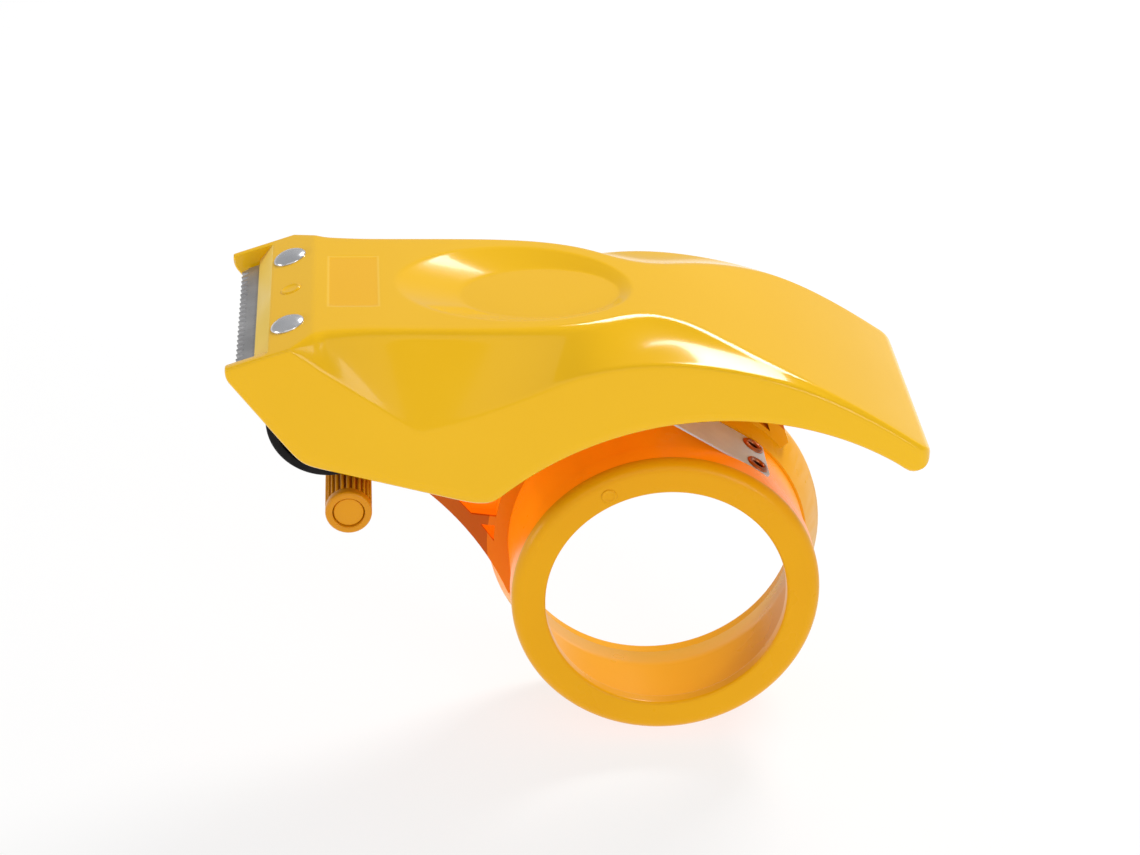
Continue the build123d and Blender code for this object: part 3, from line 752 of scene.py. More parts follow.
@dataclass
class Hood:
    """Palm hood: one moulded shell with a flared, pinched top, a thumb rest and a thick front lip."""

    half: float = 32.0
    wall: float = 2.4
    crease_x: float = NOSE[0]
    crease_z: float = NOSE[1]
    slope: float = math.tan(NOSE_TILT)
    lip_top_x: float = -92.5
    lip_low: Pair = (-96.6, 75.1)
    lip_back: float = -87.0
    nose_x: float = -101.6
    tail_x: float = 58.4
    tail_corner: float = 4.0
    arch: tuple[float, float, float] = (8.39, -16.95, 77.66)
    floor_z: float = 78.9
    mouth_oval: tuple[float, float, float] = (-35.95, 27.45, 20.6)
    floor_oval: tuple[float, float, float] = (-30.0, 18.4, 13.6)
    dish_round: float = 0.022
    badge: tuple[float, float, float, float] = (-73.2, 0.8, 5.8, 13.8)
    badge_corner: float = 2.0
    badge_depth: float = 0.13
    badge_above: float = 81.5
    pip_at: Pair = (-87.7, 0.5)
    crease_round: float = 1.1
    edge_round: float = 1.9
    skirt_rows: int = 8
    crease_rows: int = 6
    flare_rows: int = 16
    edge_rows: int = 8
    top_columns: int = 42
    top_line: GuideLine = GuideLine((
        (-82.4, 83.3), (-74, 83.1), (-56, 82.5), (-38, 81.9), (-20, 81.1), (-8, 80.0), (4, 77.8), (16, 74.0),
        (28, 69.1), (40, 62.7), (52, 54.9), (58.4, 50.4)))
    half_line: GuideLine = GuideLine((
        (-80, 27.2), (-74, 26.5), (-62, 26.3), (-48, 26.4), (-36, 25.9), (-26, 24.2), (-18, 21.1),
        (-11, 17.0), (-5, 15.1), (1, 16.2), (8, 19.9), (18, 25.1), (28, 28.9), (38, 30.5), (48, 31.0),
        (58.4, 31.1)))
    crease_line: GuideLine = GuideLine((
        (-58, 59.8), (-52.3, 61.2), (-36.4, 66.9), (-24, 72.2), (-13, 74.7), (-2.6, 75.0), (15.6, 71.9),
        (27, 68.1), (38.7, 62.1), (50.5, 54.8), (58.4, 49.3)))

    def slope_z(self, x: float | np.ndarray) -> float | np.ndarray:
        """Height of the front slope at x."""
        return self.crease_z + (x - self.crease_x) * self.slope

    def top(self, x: np.ndarray) -> np.ndarray:
        """Height of the top's middle at x."""
        return soft_min(self.slope_z(x), self.top_line.at(x), 0.10)

    def top_half(self, x: np.ndarray) -> np.ndarray:
        """Half the width of the top at x."""
        taper = 31.6 + (x + 87.4) * (27.2 - 31.6) / 7.4
        body = np.where(x < -80, taper, self.half_line.at(x))
        bend = soft_max(taper, self.half_line.at(np.maximum(x, -84.0)), 0.25)
        body = np.where(np.abs(x + 80) < 4, bend, body)
        return np.minimum(body, self.edge_half(x) - 0.4)

    def crease(self, x: np.ndarray) -> np.ndarray:
        """Height at x of the line where the flare meets the skirt."""
        straight = 81.1 + (x + 87.4) * (60.7 - 81.1) / 26.3
        return np.minimum(soft_max(straight, self.crease_line.at(x), 0.7), self.top(x) - 0.6)

    def low(self, x: np.ndarray) -> np.ndarray:
        """Height of the skirt's lower edge at x."""
        front = 73.4 - 1.381 * (x + 100.6)
        toe = 50.4 - 0.295 * (x + 77.4)
        edge = soft_max(soft_max(front, toe, 1.0), np.full_like(x, 41.4), 0.35)
        cx, cz, radius = self.arch
        arch = cz + np.sqrt(np.maximum(radius**2 - (x - cx) ** 2, 1.0))
        edge = soft_max(edge, np.where(x > -60, arch, -99.0), 0.6)
        nose = 76.2 - 3.1 * np.sqrt(np.clip((x - self.nose_x) / 1.1, 0, 1))
        edge = np.where(x < -100.5, np.maximum(nose, np.minimum(edge, 76.2)), edge)
        past = np.clip((x - (self.tail_x - 3.0)) / 3.0, 0, 1)
        tail = 49.1 - 2.9 * np.sqrt(1 - past**2)
        return np.where(x > self.tail_x - 6.0, soft_max(tail, edge, 0.25), edge)

    def edge_half(self, x: np.ndarray) -> np.ndarray:
        """Half the hood's width at x, less the round corners of its tail."""
        past = np.clip((x - (self.tail_x - self.tail_corner)) / self.tail_corner, 0, 1)
        return self.half - self.tail_corner * (1 - np.sqrt(1 - past**2))

    def stations(self) -> np.ndarray:
        """Places along X where the shell has a section."""
        return np.concatenate([
            [-101.6, -101.5, -101.3, -101.0, -100.6, -100.0, -99.2, -98.2, -97.0, -95.8, -94.6, -93.6],
            np.arange(-92.9, -84.0, 0.55), np.arange(-84.0, -80.9, 0.35), np.arange(-80.9, -66.0, 0.55),
            np.arange(-66.0, -6.0, 0.5), np.arange(-6.0, 50.0, 1.15),
            [50.0, 51.2, 52.4, 53.6, 54.6, 55.6, 56.4, 57.0, 57.5, 57.9, 58.2, 58.35, 58.4]])

    def dish(self, x: np.ndarray, y: np.ndarray) -> np.ndarray:
        """How far a point is down the thumb rest's wall: 0 outside it, 1 on its floor."""
        low, high = np.zeros_like(x), np.ones_like(x)

        def beyond(t: np.ndarray) -> np.ndarray:
            """True where the point is outside the oval at depth t."""
            cx, a, b = (m + (f - m) * t for m, f in zip(self.mouth_oval, self.floor_oval))
            return ((x - cx) / a) ** 2 + (y / b) ** 2 > 1

        for _ in range(24):
            middle = (low + high) / 2
            out = beyond(middle)
            high = np.where(out, middle, high)
            low = np.where(out, low, middle)
        raw = np.where(beyond(np.zeros_like(x)), 0.0, (low + high) / 2)
        cx, a, b = self.mouth_oval
        rim = 1 - np.sqrt(((x - cx) / a) ** 2 + (y / b) ** 2)
        raw = np.where(raw <= 0, np.minimum(rim * 4, 0), raw)
        raw = soft_max(raw, np.zeros_like(raw), self.dish_round)
        return soft_min(raw, np.ones_like(raw), self.dish_round)

    def relief(self, x: np.ndarray, y: np.ndarray) -> np.ndarray:
        """The badge's shallow recess in the top."""
        cx, cy, hx, hy = self.badge
        dx = np.abs(x - cx) - hx + self.badge_corner
        dy = np.abs(y - cy) - hy + self.badge_corner
        reach = np.hypot(np.maximum(dx, 0), np.maximum(dy, 0)) + np.minimum(np.maximum(dx, dy), 0)
        return -self.badge_depth * ease(0.5 - (reach - self.badge_corner))

    def section(self, x: np.ndarray, wall: float) -> np.ndarray:
        """Half sections of the shell, from the skirt's lower edge to the middle of the top.

        Args:
            x: places along X.
            wall: how far the section is drawn in from the outside.

        Returns:
            Y and Z of each point, by place.
        """
        skirt = self.edge_half(x) - wall
        half = np.minimum(self.top_half(x) - 0.6 * wall, skirt - 0.3)
        end = np.clip((x - (self.tail_x - 1.2)) / 1.2, 0, 1)
        top_z = self.top(x) - wall - 0.9 * (1 - np.sqrt(1 - end**2))
        crease = np.minimum(self.crease(x) - 0.5 * wall, top_z - 0.35)
        low = np.minimum(self.low(x), crease - 0.05)
        p0, p1 = np.stack([skirt, low], 1), np.stack([skirt, crease], 1)
        p2, p3 = np.stack([half, top_z], 1), np.stack([np.zeros_like(x), top_z], 1)
        flare = np.linalg.norm(p2 - p1, axis=1)[:, None]
        scoop = (0.10 + 0.42 * np.exp(-(((x + 2) / 17.0) ** 2)))[:, None]
        knee = np.stack([half + 0.12 * (skirt - half), crease + 0.1 * (top_z - crease)], 1)
        pull = (p1 + p2) / 2 * (1 - scoop) + knee * scoop

        def on_flare(t: float | np.ndarray) -> np.ndarray:
            """Point of the flare's curve, from the crease at 0 to the top's edge at 1."""
            return (1 - t) ** 2 * p1 + 2 * t * (1 - t) * pull + t**2 * p2

        def rounded(start: np.ndarray, corner: np.ndarray, end: np.ndarray, count: int) -> list[np.ndarray]:
            """Points round a corner, without the last."""
            return [(1 - t) ** 2 * start + 2 * t * (1 - t) * corner + t**2 * end
                    for t in np.linspace(0, 1, count, endpoint=False)]

        inset = np.minimum(self.edge_round, 0.3 * flare)
        low_cut, top_cut = np.minimum(self.crease_round, 0.3 * flare) / flare, inset / flare
        rise = np.minimum(self.crease_round, 0.4 * (crease - low))[:, None]
        sideways, upwards = np.array([1.0, 0.0]), np.array([0.0, 1.0])
        below = p1 - upwards * rise
        rows = [p0 + (below - p0) * t for t in np.linspace(0, 1, self.skirt_rows, endpoint=False)]
        rows += rounded(below, p1, on_flare(low_cut), self.crease_rows)
        for t in np.linspace(0, 1, self.flare_rows, endpoint=False):
            rows.append(on_flare(low_cut + (1 - top_cut - low_cut) * t))
        edge = p2 - sideways * inset
        rows += rounded(on_flare(1 - top_cut), p2, edge, self.edge_rows) + [edge]
        step = edge - sideways * (self.wall - 0.65)
        step[:, 0] = np.where(x <= self.lip_top_x + 0.01, self.half - self.wall, step[:, 0])
        rows += [step + (p3 - step) * t for t in np.linspace(0, 1, self.top_columns)]
        return np.stack(rows, 1)

    def sheet(self, x: np.ndarray, inner: bool) -> np.ndarray:
        """Outer or inner face of the shell, from one skirt's edge over the top to the other's.

        Args:
            x: places along X.
            inner: the inner face.

        Returns:
            X, Y and Z of each point, by place and column.
        """
        half = self.section(x, self.wall if inner else 0.0)
        strip = half.shape[1] - self.top_columns
        y = np.concatenate([-half[:, :, 0], half[:, -2::-1, 0]], 1)
        z = np.concatenate([half[:, :, 1], half[:, -2::-1, 1]], 1)
        xx = np.repeat(x[:, None], y.shape[1], 1)
        if inner:
            xx = xx - self.wall * ease((xx - 50) / 8.4)
        on_top = np.zeros(y.shape[1])
        on_top[strip - 1 : y.shape[1] - strip + 1] = 1
        floor = self.floor_z - (self.wall if inner else 0)
        z = z + on_top * self.dish(xx, y) * (floor - z)
        if not inner:
            z = z + on_top * self.relief(xx, y)
        return np.stack([xx, y, z], 2)

    def rounded_rim(self, points: np.ndarray, quads: list[tuple[int, ...]], shift: int) -> tuple[list, list]:
        """Closes the gap between the two faces along their free edges, with a rounded rim.

        Args:
            points: all points, the inner face's after the outer's.
            quads: the outer face's quads.
            shift: from a point of the outer face to its partner on the inner.

        Returns:
            The new points and the new faces.
        """
        edges = {(a, b) for q in quads for a, b in zip(q, q[1:] + q[:1])}
        rim = [(a, b) for q in quads for a, b in zip(q, q[1:] + q[:1]) if (b, a) not in edges]
        away: dict[int, np.ndarray] = {}
        for a, b in rim:
            out = np.cross(points[b] - points[a], points[a + shift] - points[a])
            length = np.linalg.norm(out)
            if length > 1e-9:
                for k in (a, b):
                    away[k] = away.get(k, np.zeros(3)) + out / length
        extra: dict[int, tuple[int, int]] = {}
        more: list[np.ndarray] = []
        for k, out in away.items():
            gap = points[k + shift] - points[k]
            size = float(np.linalg.norm(gap))
            out = out / max(np.linalg.norm(out), 1e-9) * min(0.22 * size, 0.5)
            first = len(points) + len(more)
            more += [points[k] + gap * 0.22 + out, points[k] + gap * 0.78 + out]
            extra[k] = (first, first + 1)
        faces = []
        for a, b in rim:
            (a1, a2), (b1, b2) = extra[a], extra[b]
            faces += [(b, a, a1, b1), (b1, a1, a2, b2), (b2, a2, a + shift, b + shift)]
        return more, faces

    def build(self) -> bpy.types.Object:
        """Builds the shell as one closed mesh.

        Returns:
            The shell.
        """
        x = self.stations()
        outer, inner = self.sheet(x, False), self.sheet(x, True)
        rows, columns = outer.shape[:2]
        strip = (columns + 1) // 2 - self.top_columns
        cheeks = np.r_[0 : strip + 1, columns - 1 - strip : columns]
        for row in np.nonzero(x <= self.lip_top_x + 0.01)[0]:
            for column in cheeks:
                lift = 0.0 if column in (0, columns - 1) else 0.1
                side = math.copysign(self.half - self.wall, outer[row, column, 1])
                inner[row, column] = (outer[row, column, 0], side, outer[row, column, 2] - lift)
        points = np.concatenate([outer.reshape(-1, 3), inner.reshape(-1, 3)])
        shift = rows * columns
        quads = []
        for i in range(rows - 1):
            open_front = x[i] < self.lip_top_x - 0.01
            for j in range(columns - 1):
                if open_front and strip <= j < columns - 1 - strip:
                    continue
                a = i * columns + j
                quads.append((a, a + 1, a + columns + 1, a + columns))
        faces = list(quads) + [tuple(shift + k for k in reversed(q)) for q in quads]
        more, closing = self.rounded_rim(points, quads, shift)
        return new_piece("hood_shell_moulding", np.concatenate([points, np.array(more)]), faces + closing)

    def lip(self) -> bpy.types.Object:
        """Thick front edge of the roof, over the blade.

        Returns:
            The lip.
        """
        top, back = self.lip_top_x, self.lip_back
        low_x, low_z = self.lip_low
        outline = rounded_profile([
            (top, self.slope_z(top), 0.35), (back, self.slope_z(back) - 0.6, 0.0),
            (back, low_z + (back - low_x) * self.slope, 0.3), (low_x, low_z, 0.4)], 4)
        side = self.half - self.wall + 0.2
        start, depth = Vector((0, -side, -0.03)), Vector((0, 2 * side, 0))
        return prism("hood_front_lip", outline, start, Vector((1, 0, 0)), Vector((0, 0, 1)), depth)

    def pip(self) -> bpy.types.Object:
        """Round mark of the mould's ejector on the slope, between the rivets.

        Returns:
            The mark.
        """
        profile = [(0.0001, 0.03), (1.3, 0.04), (1.6, 0.10), (1.85, 0.24), (2.1, 0.28), (2.3, 0.22),
                   (2.45, 0.08), (2.5, -0.1), (0.0001, -0.1)]
        mark = lathe("hood_ejector_mark", profile, 48, closed=False)
        x, y = self.pip_at
        return stand(mark, *nose_directions(), Vector((x, y, self.slope_z(x))) * MM)

    def dress(self, finishes: Finishes) -> None:
        """Builds the hood, marks its badge in the finish and puts it in the frame."""
        w = finishes.hood_wiring
        x, y, z = w.axes()
        cx, cy, hx, hy = (v * MM for v in self.badge)
        dx = w.math("SUBTRACT", w.math("ABSOLUTE", w.math("SUBTRACT", x, cx)), hx)
        dy = w.math("SUBTRACT", w.math("ABSOLUTE", w.math("SUBTRACT", y, cy)), hy)
        above = w.over(z, self.badge_above * MM)
        reach = w.math("MAXIMUM", dx, dy)
        inside = w.times(w.spread(reach, 0.25, 0.0, -0.0003, 0.0001), above)
        w.recolour(inside, (0.92, 0.40, 0.012), (0.90, 0.37, 0.010))
        # A lighter line round the badge: a painted highlight standing in for its raised outline.
        border_highlight = w.times(w.spread(w.math("ABSOLUTE", reach), 0.6, 0.0, 0.0001, 0.0004), above)
        w.recolour(border_highlight, (0.95, 0.60, 0.07), (0.94, 0.58, 0.06))
        shell = dress(self.build(), finishes.hood)
        join_frame(shell, Body.BODY, "hood_yellow", "hood_shell")
        # The lip takes the lighter lip finish, painted light.
        lip = dress(self.lip(), finishes.lip)
        join_frame(lip, Body.BODY, "hood_yellow")
        join_frame(dress(self.pip(), finishes.hood), Body.BODY, "hood_yellow")


# ---------------------------------------------------------------- cutter


@dataclass
class Cutter:
    """Saw blade under the hood's lip, held by two domed rivets and a clamp strip."""

    rivet_x: float = -88.2
    rivet_y: float = 18.5
    head_r: float = 4.0
    head_rise: float = 1.5
    blade_half: float = 28.75
    depth: float = 16.0
    pitch: float = 2.5
    tooth: float = 2.1
    thick: float = 0.8

    def tip(self) -> Vector:
        """Upper front corner of the blade's edge, in millimetres."""
        low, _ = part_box("cutting_blade")
        return Vector((low.x, 0, low.z + self.thick * MM * math.cos(NOSE_TILT))) / MM

    def blade_plate(self) -> bpy.types.Object:
        """The blade without its teeth."""
        along, up = nose_directions()
        half = self.blade_half
        outline = [(self.tooth, -half), (self.depth, -half), (self.depth, half), (self.tooth, half)]
        plate = prism("blade_plate", outline, self.tip(), along, Vector((0, 1, 0)), up * -self.thick)
        return soften(plate, 0.12)

    def blade_teeth(self, repeats: Repeater, finish: bpy.types.Material) -> bpy.types.Object:
        """The row of ground teeth."""
        along, up = nose_directions()
        p = self.pitch
        root = self.tooth - 0.1
        outline = [(self.tooth + 0.1, 0.02), (self.tooth + 0.1, p - 0.02), (root - 0.1, p - 0.02),
                   (root - 0.25, p * 0.80), (root - 0.6, p * 0.67), (0.75, p * 0.60), (0.15, p * 0.50),
                   (0.0, p * 0.38), (0.1, p * 0.22), (0.6, p * 0.14), (1.3, p * 0.07), (root - 0.3, 0.02)]
        tooth = prism("blade_teeth", outline, self.tip(), along, Vector((0, 1, 0)), up * -self.thick)
        tooth = soften(tooth, 0.06, 1)
        count = int(2 * self.blade_half / p)
        return repeats.apply(tooth, count, (0, -count * p / 2 * MM, 0), (0, p * MM, 0), finish)

    def rivets(self, repeats: Repeater, finish: bpy.types.Material) -> bpy.types.Object:
        """Two domed rivets."""
        r, rise = self.head_r, self.head_rise
        profile = [(0.0001, rise), (r * 0.25, rise * 0.97), (r * 0.5, rise * 0.87), (r * 0.72, rise * 0.68),
                   (r * 0.88, rise * 0.44), (r * 0.97, rise * 0.22), (r, 0.06), (r * 0.985, -0.05),
                   (1.9, -0.05), (1.9, -7.0), (3.0, -7.0), (2.8, -7.9), (0.0001, -8.0)]
        head = lathe("blade_rivets_domed", profile, 56, closed=False)
        rivet_z = NOSE[1] + (self.rivet_x - NOSE[0]) * math.tan(NOSE_TILT)
        seat = Vector((self.rivet_x, -self.rivet_y, rivet_z)) * MM
        stand(head, *nose_directions())
        return repeats.apply(head, 2, tuple(seat), (0, 2 * self.rivet_y * MM, 0), finish)

    def dress(self, finishes: Finishes, repeats: Repeater) -> None:
        """Builds the cutter and puts it in the frame."""
        plate = dress(self.blade_plate(), finishes.blade)
        join_frame(plate, Body.BODY, "blade_steel", "cutting_blade")
        join_frame(self.blade_teeth(repeats, finishes.blade), Body.BODY, "blade_steel")
        join_frame(self.rivets(repeats, finishes.rivet), Body.BODY, "rivet_steel", "blade_rivets")
        strip = dress(rounded_copy("blade_clamp", "blade_clamp_strip", 0.25), finishes.plain)
        join_frame(strip, Body.BODY, "plain_steel", "blade_clamp")


# ---------------------------------------------------------------- hub and side frame


@dataclass
class TapeHub:
    """Drum for the tape core, with an inward lip, a rounded edge and a flat for the leaf spring."""

    radius: float = 37.7
    rim_end: float = 0.2
    drum: float = 37.1
    near: float = -8.8
    seat: float = 25.5
    lip_bore: float = 29.5
    bore_near: float = 34.9
    bore_far: float = 35.7
    leaf_seat_y: Pair = (0.4, 17.8)
    mark_at: Pair = (-14.2, 29.2)
    segments: int = 256

    def build(self) -> bpy.types.Object:
        """Builds the drum.

        Returns:
            The drum.
        """
        corners = rounded_profile([
            (self.lip_bore, self.near, 0.9), (self.radius, self.near, 3.0), (self.radius, self.rim_end, 0.2),
            (self.drum, self.rim_end, 0.1), (self.drum, self.seat, 0.0), (self.bore_far, self.seat, 0.0),
            (self.bore_near, self.near + 4.0, 1.2), (self.lip_bore, self.near + 4.0, 0.8)], 8)
        low, high = self.leaf_seat_y
        rings = (low - 0.05, low + 0.05, 3.0, 6.0, 9.0, 12.0, 15.0, high - 0.05, high + 0.05, 20.0, 23.0)
        profile: list[Pair] = []
        for k, (r, y) in enumerate(corners):
            profile.append((r, y))
            after = corners[(k + 1) % len(corners)]
            if abs(r - self.drum) < 0.01 and abs(after[0] - self.drum) < 0.01 and after[1] - y > 5:
                profile += [(self.drum, ring) for ring in rings]
            elif abs(after[1] - y) > 15 or abs(after[0] - r) > 2.5:
                profile += [(r + (after[0] - r) * t, y + (after[1] - y) * t) for t in (0.25, 0.5, 0.75)]
        hub = lathe("tape_hub_drum", profile, self.segments)
        normal = Vector((math.sin(LEAF_ANGLE), 0, math.cos(LEAF_ANGLE)))
        for v in hub.data.vertices:
            y = v.co.y / MM
            if low < y < high and Vector((v.co.x, 0, v.co.z)).length > 37.0 * MM:
                proud = v.co.dot(normal) - LEAF_SEAT * MM
                if proud > 0:
                    v.co -= normal * proud
        return hub

    def mould_mark(self) -> bpy.types.Object:
        """Small ring left by the mould on the drum's open face."""
        y = self.near
        profile = [(0.0001, y + 0.02), (0.55, y - 0.02), (0.9, y + 0.02), (1.15, y - 0.02), (1.4, y - 0.2),
                   (1.7, y - 0.2), (2.0, y + 0.05), (1.6, y + 0.4), (0.0001, y + 0.4)]
        return lathe("hub_mould_mark", profile, 36, self.mark_at, closed=False)

    def dress(self, finishes: Finishes) -> None:
        """Builds the hub and puts it in the frame."""
        join_frame(dress(self.build(), finishes.hub), Body.BODY, "hub_amber", "tape_hub")
        join_frame(dress(self.mould_mark(), finishes.hub), Body.BODY, "hub_amber")


@dataclass
class SideFrame:
    """Ribbed plate on the far side that carries the hub, the roller and the post."""

    rounding: float = 0.35

    def dress(self, finishes: Finishes) -> None:
        """Builds the frame and its screws and puts them in the frame."""
        plate = dress(rounded_copy("side_frame", "side_frame_ribbed", self.rounding), finishes.frame)
        join_frame(plate, Body.BODY, "frame_orange", "side_frame")
        screws = dress(rounded_copy("frame_screws", "frame_screws_panhead", 0.15), finishes.rivet)
        join_frame(screws, Body.BODY, "rivet_steel", "frame_screws")


# ---------------------------------------------------------------- leaf spring


@dataclass
class LeafBrake:
    """Steel leaf riveted to the hub, whose free arm drags on the tape core."""

    thick: float = 0.5
    near: float = 0.8
    far: float = 17.4
    tail: float = -6.4
    free: float = 26.0
    bend: float = 8.2
    corner: float = 1.6
    eyelet_y: Pair = (4.0, 13.8)
    eyelet_along: float = -3.0
    hole_r: float = 1.75
    bend_before: float = 1.5
    bend_after: float = 2.5

    def directions(self) -> tuple[Vector, Vector]:
        """Direction towards the leaf's free end and the leaf's outward normal."""
        cos, sin = math.cos(LEAF_ANGLE), math.sin(LEAF_ANGLE)
        return Vector((-cos, 0, sin)), Vector((sin, 0, cos))

    def strip(self) -> bpy.types.Object:
        """The whole leaf as one strip, holed for its eyelets.

        Returns:
            The strip.
        """
        along, normal = self.directions()
        length = np.concatenate([
            self.tail + self.corner * (1 - np.cos(np.linspace(0, math.pi / 2, 7))),
            np.arange(self.tail + self.corner + 0.6, self.free - self.corner - 0.3, 0.8),
            self.free - self.corner * (1 - np.cos(np.linspace(math.pi / 2, 0, 7)))])
        middle, half = (self.near + self.far) / 2, (self.far - self.near) / 2
        across = np.linspace(-1, 1, 15)
        points, faces = [], []
        for lift in (0.03, self.thick):
            for s in length:
                end = min(s - self.tail, self.free - s)
                cut = max(self.corner - end, 0.0)
                wide = half - self.corner + math.sqrt(max(self.corner**2 - cut**2, 0.0))
                for v in across:
                    p = normal * (LEAF_SEAT + lift) + along * float(s) + Vector((0, middle + v * wide, 0))
                    points.append(p)
        n, m = len(length), len(across)
        for i in range(n - 1):
            for j in range(m - 1):
                a = i * m + j
                faces.append((a, a + 1, a + m + 1, a + m))
                a += n * m
                faces.append((a, a + m, a + m + 1, a + 1))
        edge = [i * m for i in range(n)] + [(n - 1) * m + j for j in range(1, m)]
        edge += [i * m + m - 1 for i in range(n - 2, -1, -1)] + list(range(m - 2, 0, -1))
        for a, b in zip(edge, edge[1:] + edge[:1]):
            faces.append((a, b, b + n * m, a + n * m))
        leaf = new_piece("leaf_spring_strip", points, faces)
        cutters = []
        for y in self.eyelet_y:
            centre = normal * LEAF_SEAT + along * self.eyelet_along + Vector((0, y, 0))
            ring = [(self.hole_r * math.cos(t), self.hole_r * math.sin(t))
                    for t in np.linspace(0, 2 * math.pi, 40, False)]
            cutters.append(prism("cutter", ring, centre - normal * 2, along, Vector((0, 1, 0)), normal * 4))
        for cutter in cutters:
            hole = leaf.modifiers.new("hole", "BOOLEAN")
            hole.object = cutter
            hole.solver = "EXACT"
        settle(leaf)
        for cutter in cutters:
            bpy.data.objects.remove(cutter)
        return soften(leaf, 0.1, 2, 40)

    def eyelets(self, repeats: Repeater, finish: bpy.types.Material) -> bpy.types.Object:
        """Two rolled copper eyelets."""
        rim = self.thick
        profile = [(1.38, 0.05), (1.42, rim + 0.2), (1.65, rim + 0.50), (2.1, rim + 0.62), (2.6, rim + 0.50),
                   (2.92, rim + 0.2), (2.95, rim + 0.02), (2.7, rim - 0.02), (1.8, rim - 0.02), (1.7, 0.05)]
        return self.seated(lathe("leaf_eyelets_rolled", profile, 48), repeats, finish)

    def shade_discs(self, repeats: Repeater, finish: bpy.types.Material) -> bpy.types.Object:
        """Dark discs in the eyelets' holes: painted shade."""
        profile = [(0.0001, 0.08), (0.9, 0.12), (1.25, 0.24), (1.40, 0.40), (1.40, 0.05), (0.0001, 0.05)]
        return self.seated(lathe("leaf_eyelets_painted_shade", profile, 36, closed=False), repeats, finish)

    def seated(self, eyelet: bpy.types.Object, repeats: Repeater,
               finish: bpy.types.Material) -> bpy.types.Object:
        """Stands a part turned round Y on the leaf, once for each eyelet.

        Args:
            eyelet: the turned part.
            repeats: the tree that repeats it.
            finish: its material.

        Returns:
            The two parts as one object.
        """
        along, normal = self.directions()
        stand(eyelet, along, normal)
        first = (normal * LEAF_SEAT + along * self.eyelet_along + Vector((0, self.eyelet_y[0], 0))) * MM
        step = (0, (self.eyelet_y[1] - self.eyelet_y[0]) * MM, 0)
        return repeats.apply(eyelet, 2, tuple(first), step, finish)

    def dress(self, finishes: Finishes, repeats: Repeater) -> None:
        """Builds the leaf brake; puts its eyelets and backing in the frame and leaves the strip on no body.
        """
        leaf = dress(self.strip(), finishes.leaf)
        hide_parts("leaf_foot", "leaf_arm")
        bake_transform(leaf)
        log.info("%s bends from body to leaf", leaf.name)
        join_frame(self.eyelets(repeats, finishes.copper), Body.BODY, "copper", "leaf_eyelets")
        # The eyelets' holes are filled with dark discs of painted shade.
        join_frame(self.shade_discs(repeats, finishes.eyelet_shade), Body.BODY, "copper")
        backing = dress(rounded_copy("leaf_backing", "leaf_backing_strip", 0.1), finishes.plain)
        join_frame(backing, Body.BODY, "plain_steel", "leaf_backing")


# ---------------------------------------------------------------- roller and post


@dataclass
class PressRoller:
    """Rubber roller that presses the tape flat."""

    axis: Pair = (-79.9, 60.9)
    radius: float = 14.0
    wall: float = 2.1
    near: float = -27.0
    far: float = 21.0

    def tyre(self) -> bpy.types.Object:
        """The rubber tyre, with rounded end edges."""
        inner = self.radius - self.wall
        corners = [(inner, self.near, 0.25), (self.radius, self.near, 0.6), (self.radius, self.far, 0.6),
                   (inner, self.far, 0.25)]
        outline = rounded_profile(corners, 5)
        return lathe("roller_tyre_rubber", outline, 160, self.axis)

    def dress(self, finishes: Finishes) -> None:
        """Builds the roller and puts it in the frame."""
        join_frame(dress(self.tyre(), finishes.rubber), Body.ROLLER, "tyre_rubber", "roller_tyre")
        for node, name, width, body, finish, slot in (
            ("roller_core", "roller_core_moulding", 0.25, Body.ROLLER, finishes.core, "core_black"),
            ("roller_bushes", "roller_bushes_plain", 0.15, Body.ROLLER, finishes.bush, "bush_white"),
            ("roller_axle", "roller_axle_rod", 0.15, Body.BODY, finishes.plain, "plain_steel"),
            ("roller_retainer", "roller_retainer_cap", 0.15, Body.BODY, finishes.plain, "plain_steel"),
        ):
            join_frame(dress(rounded_copy(node, name, width), finish), body, slot, node)


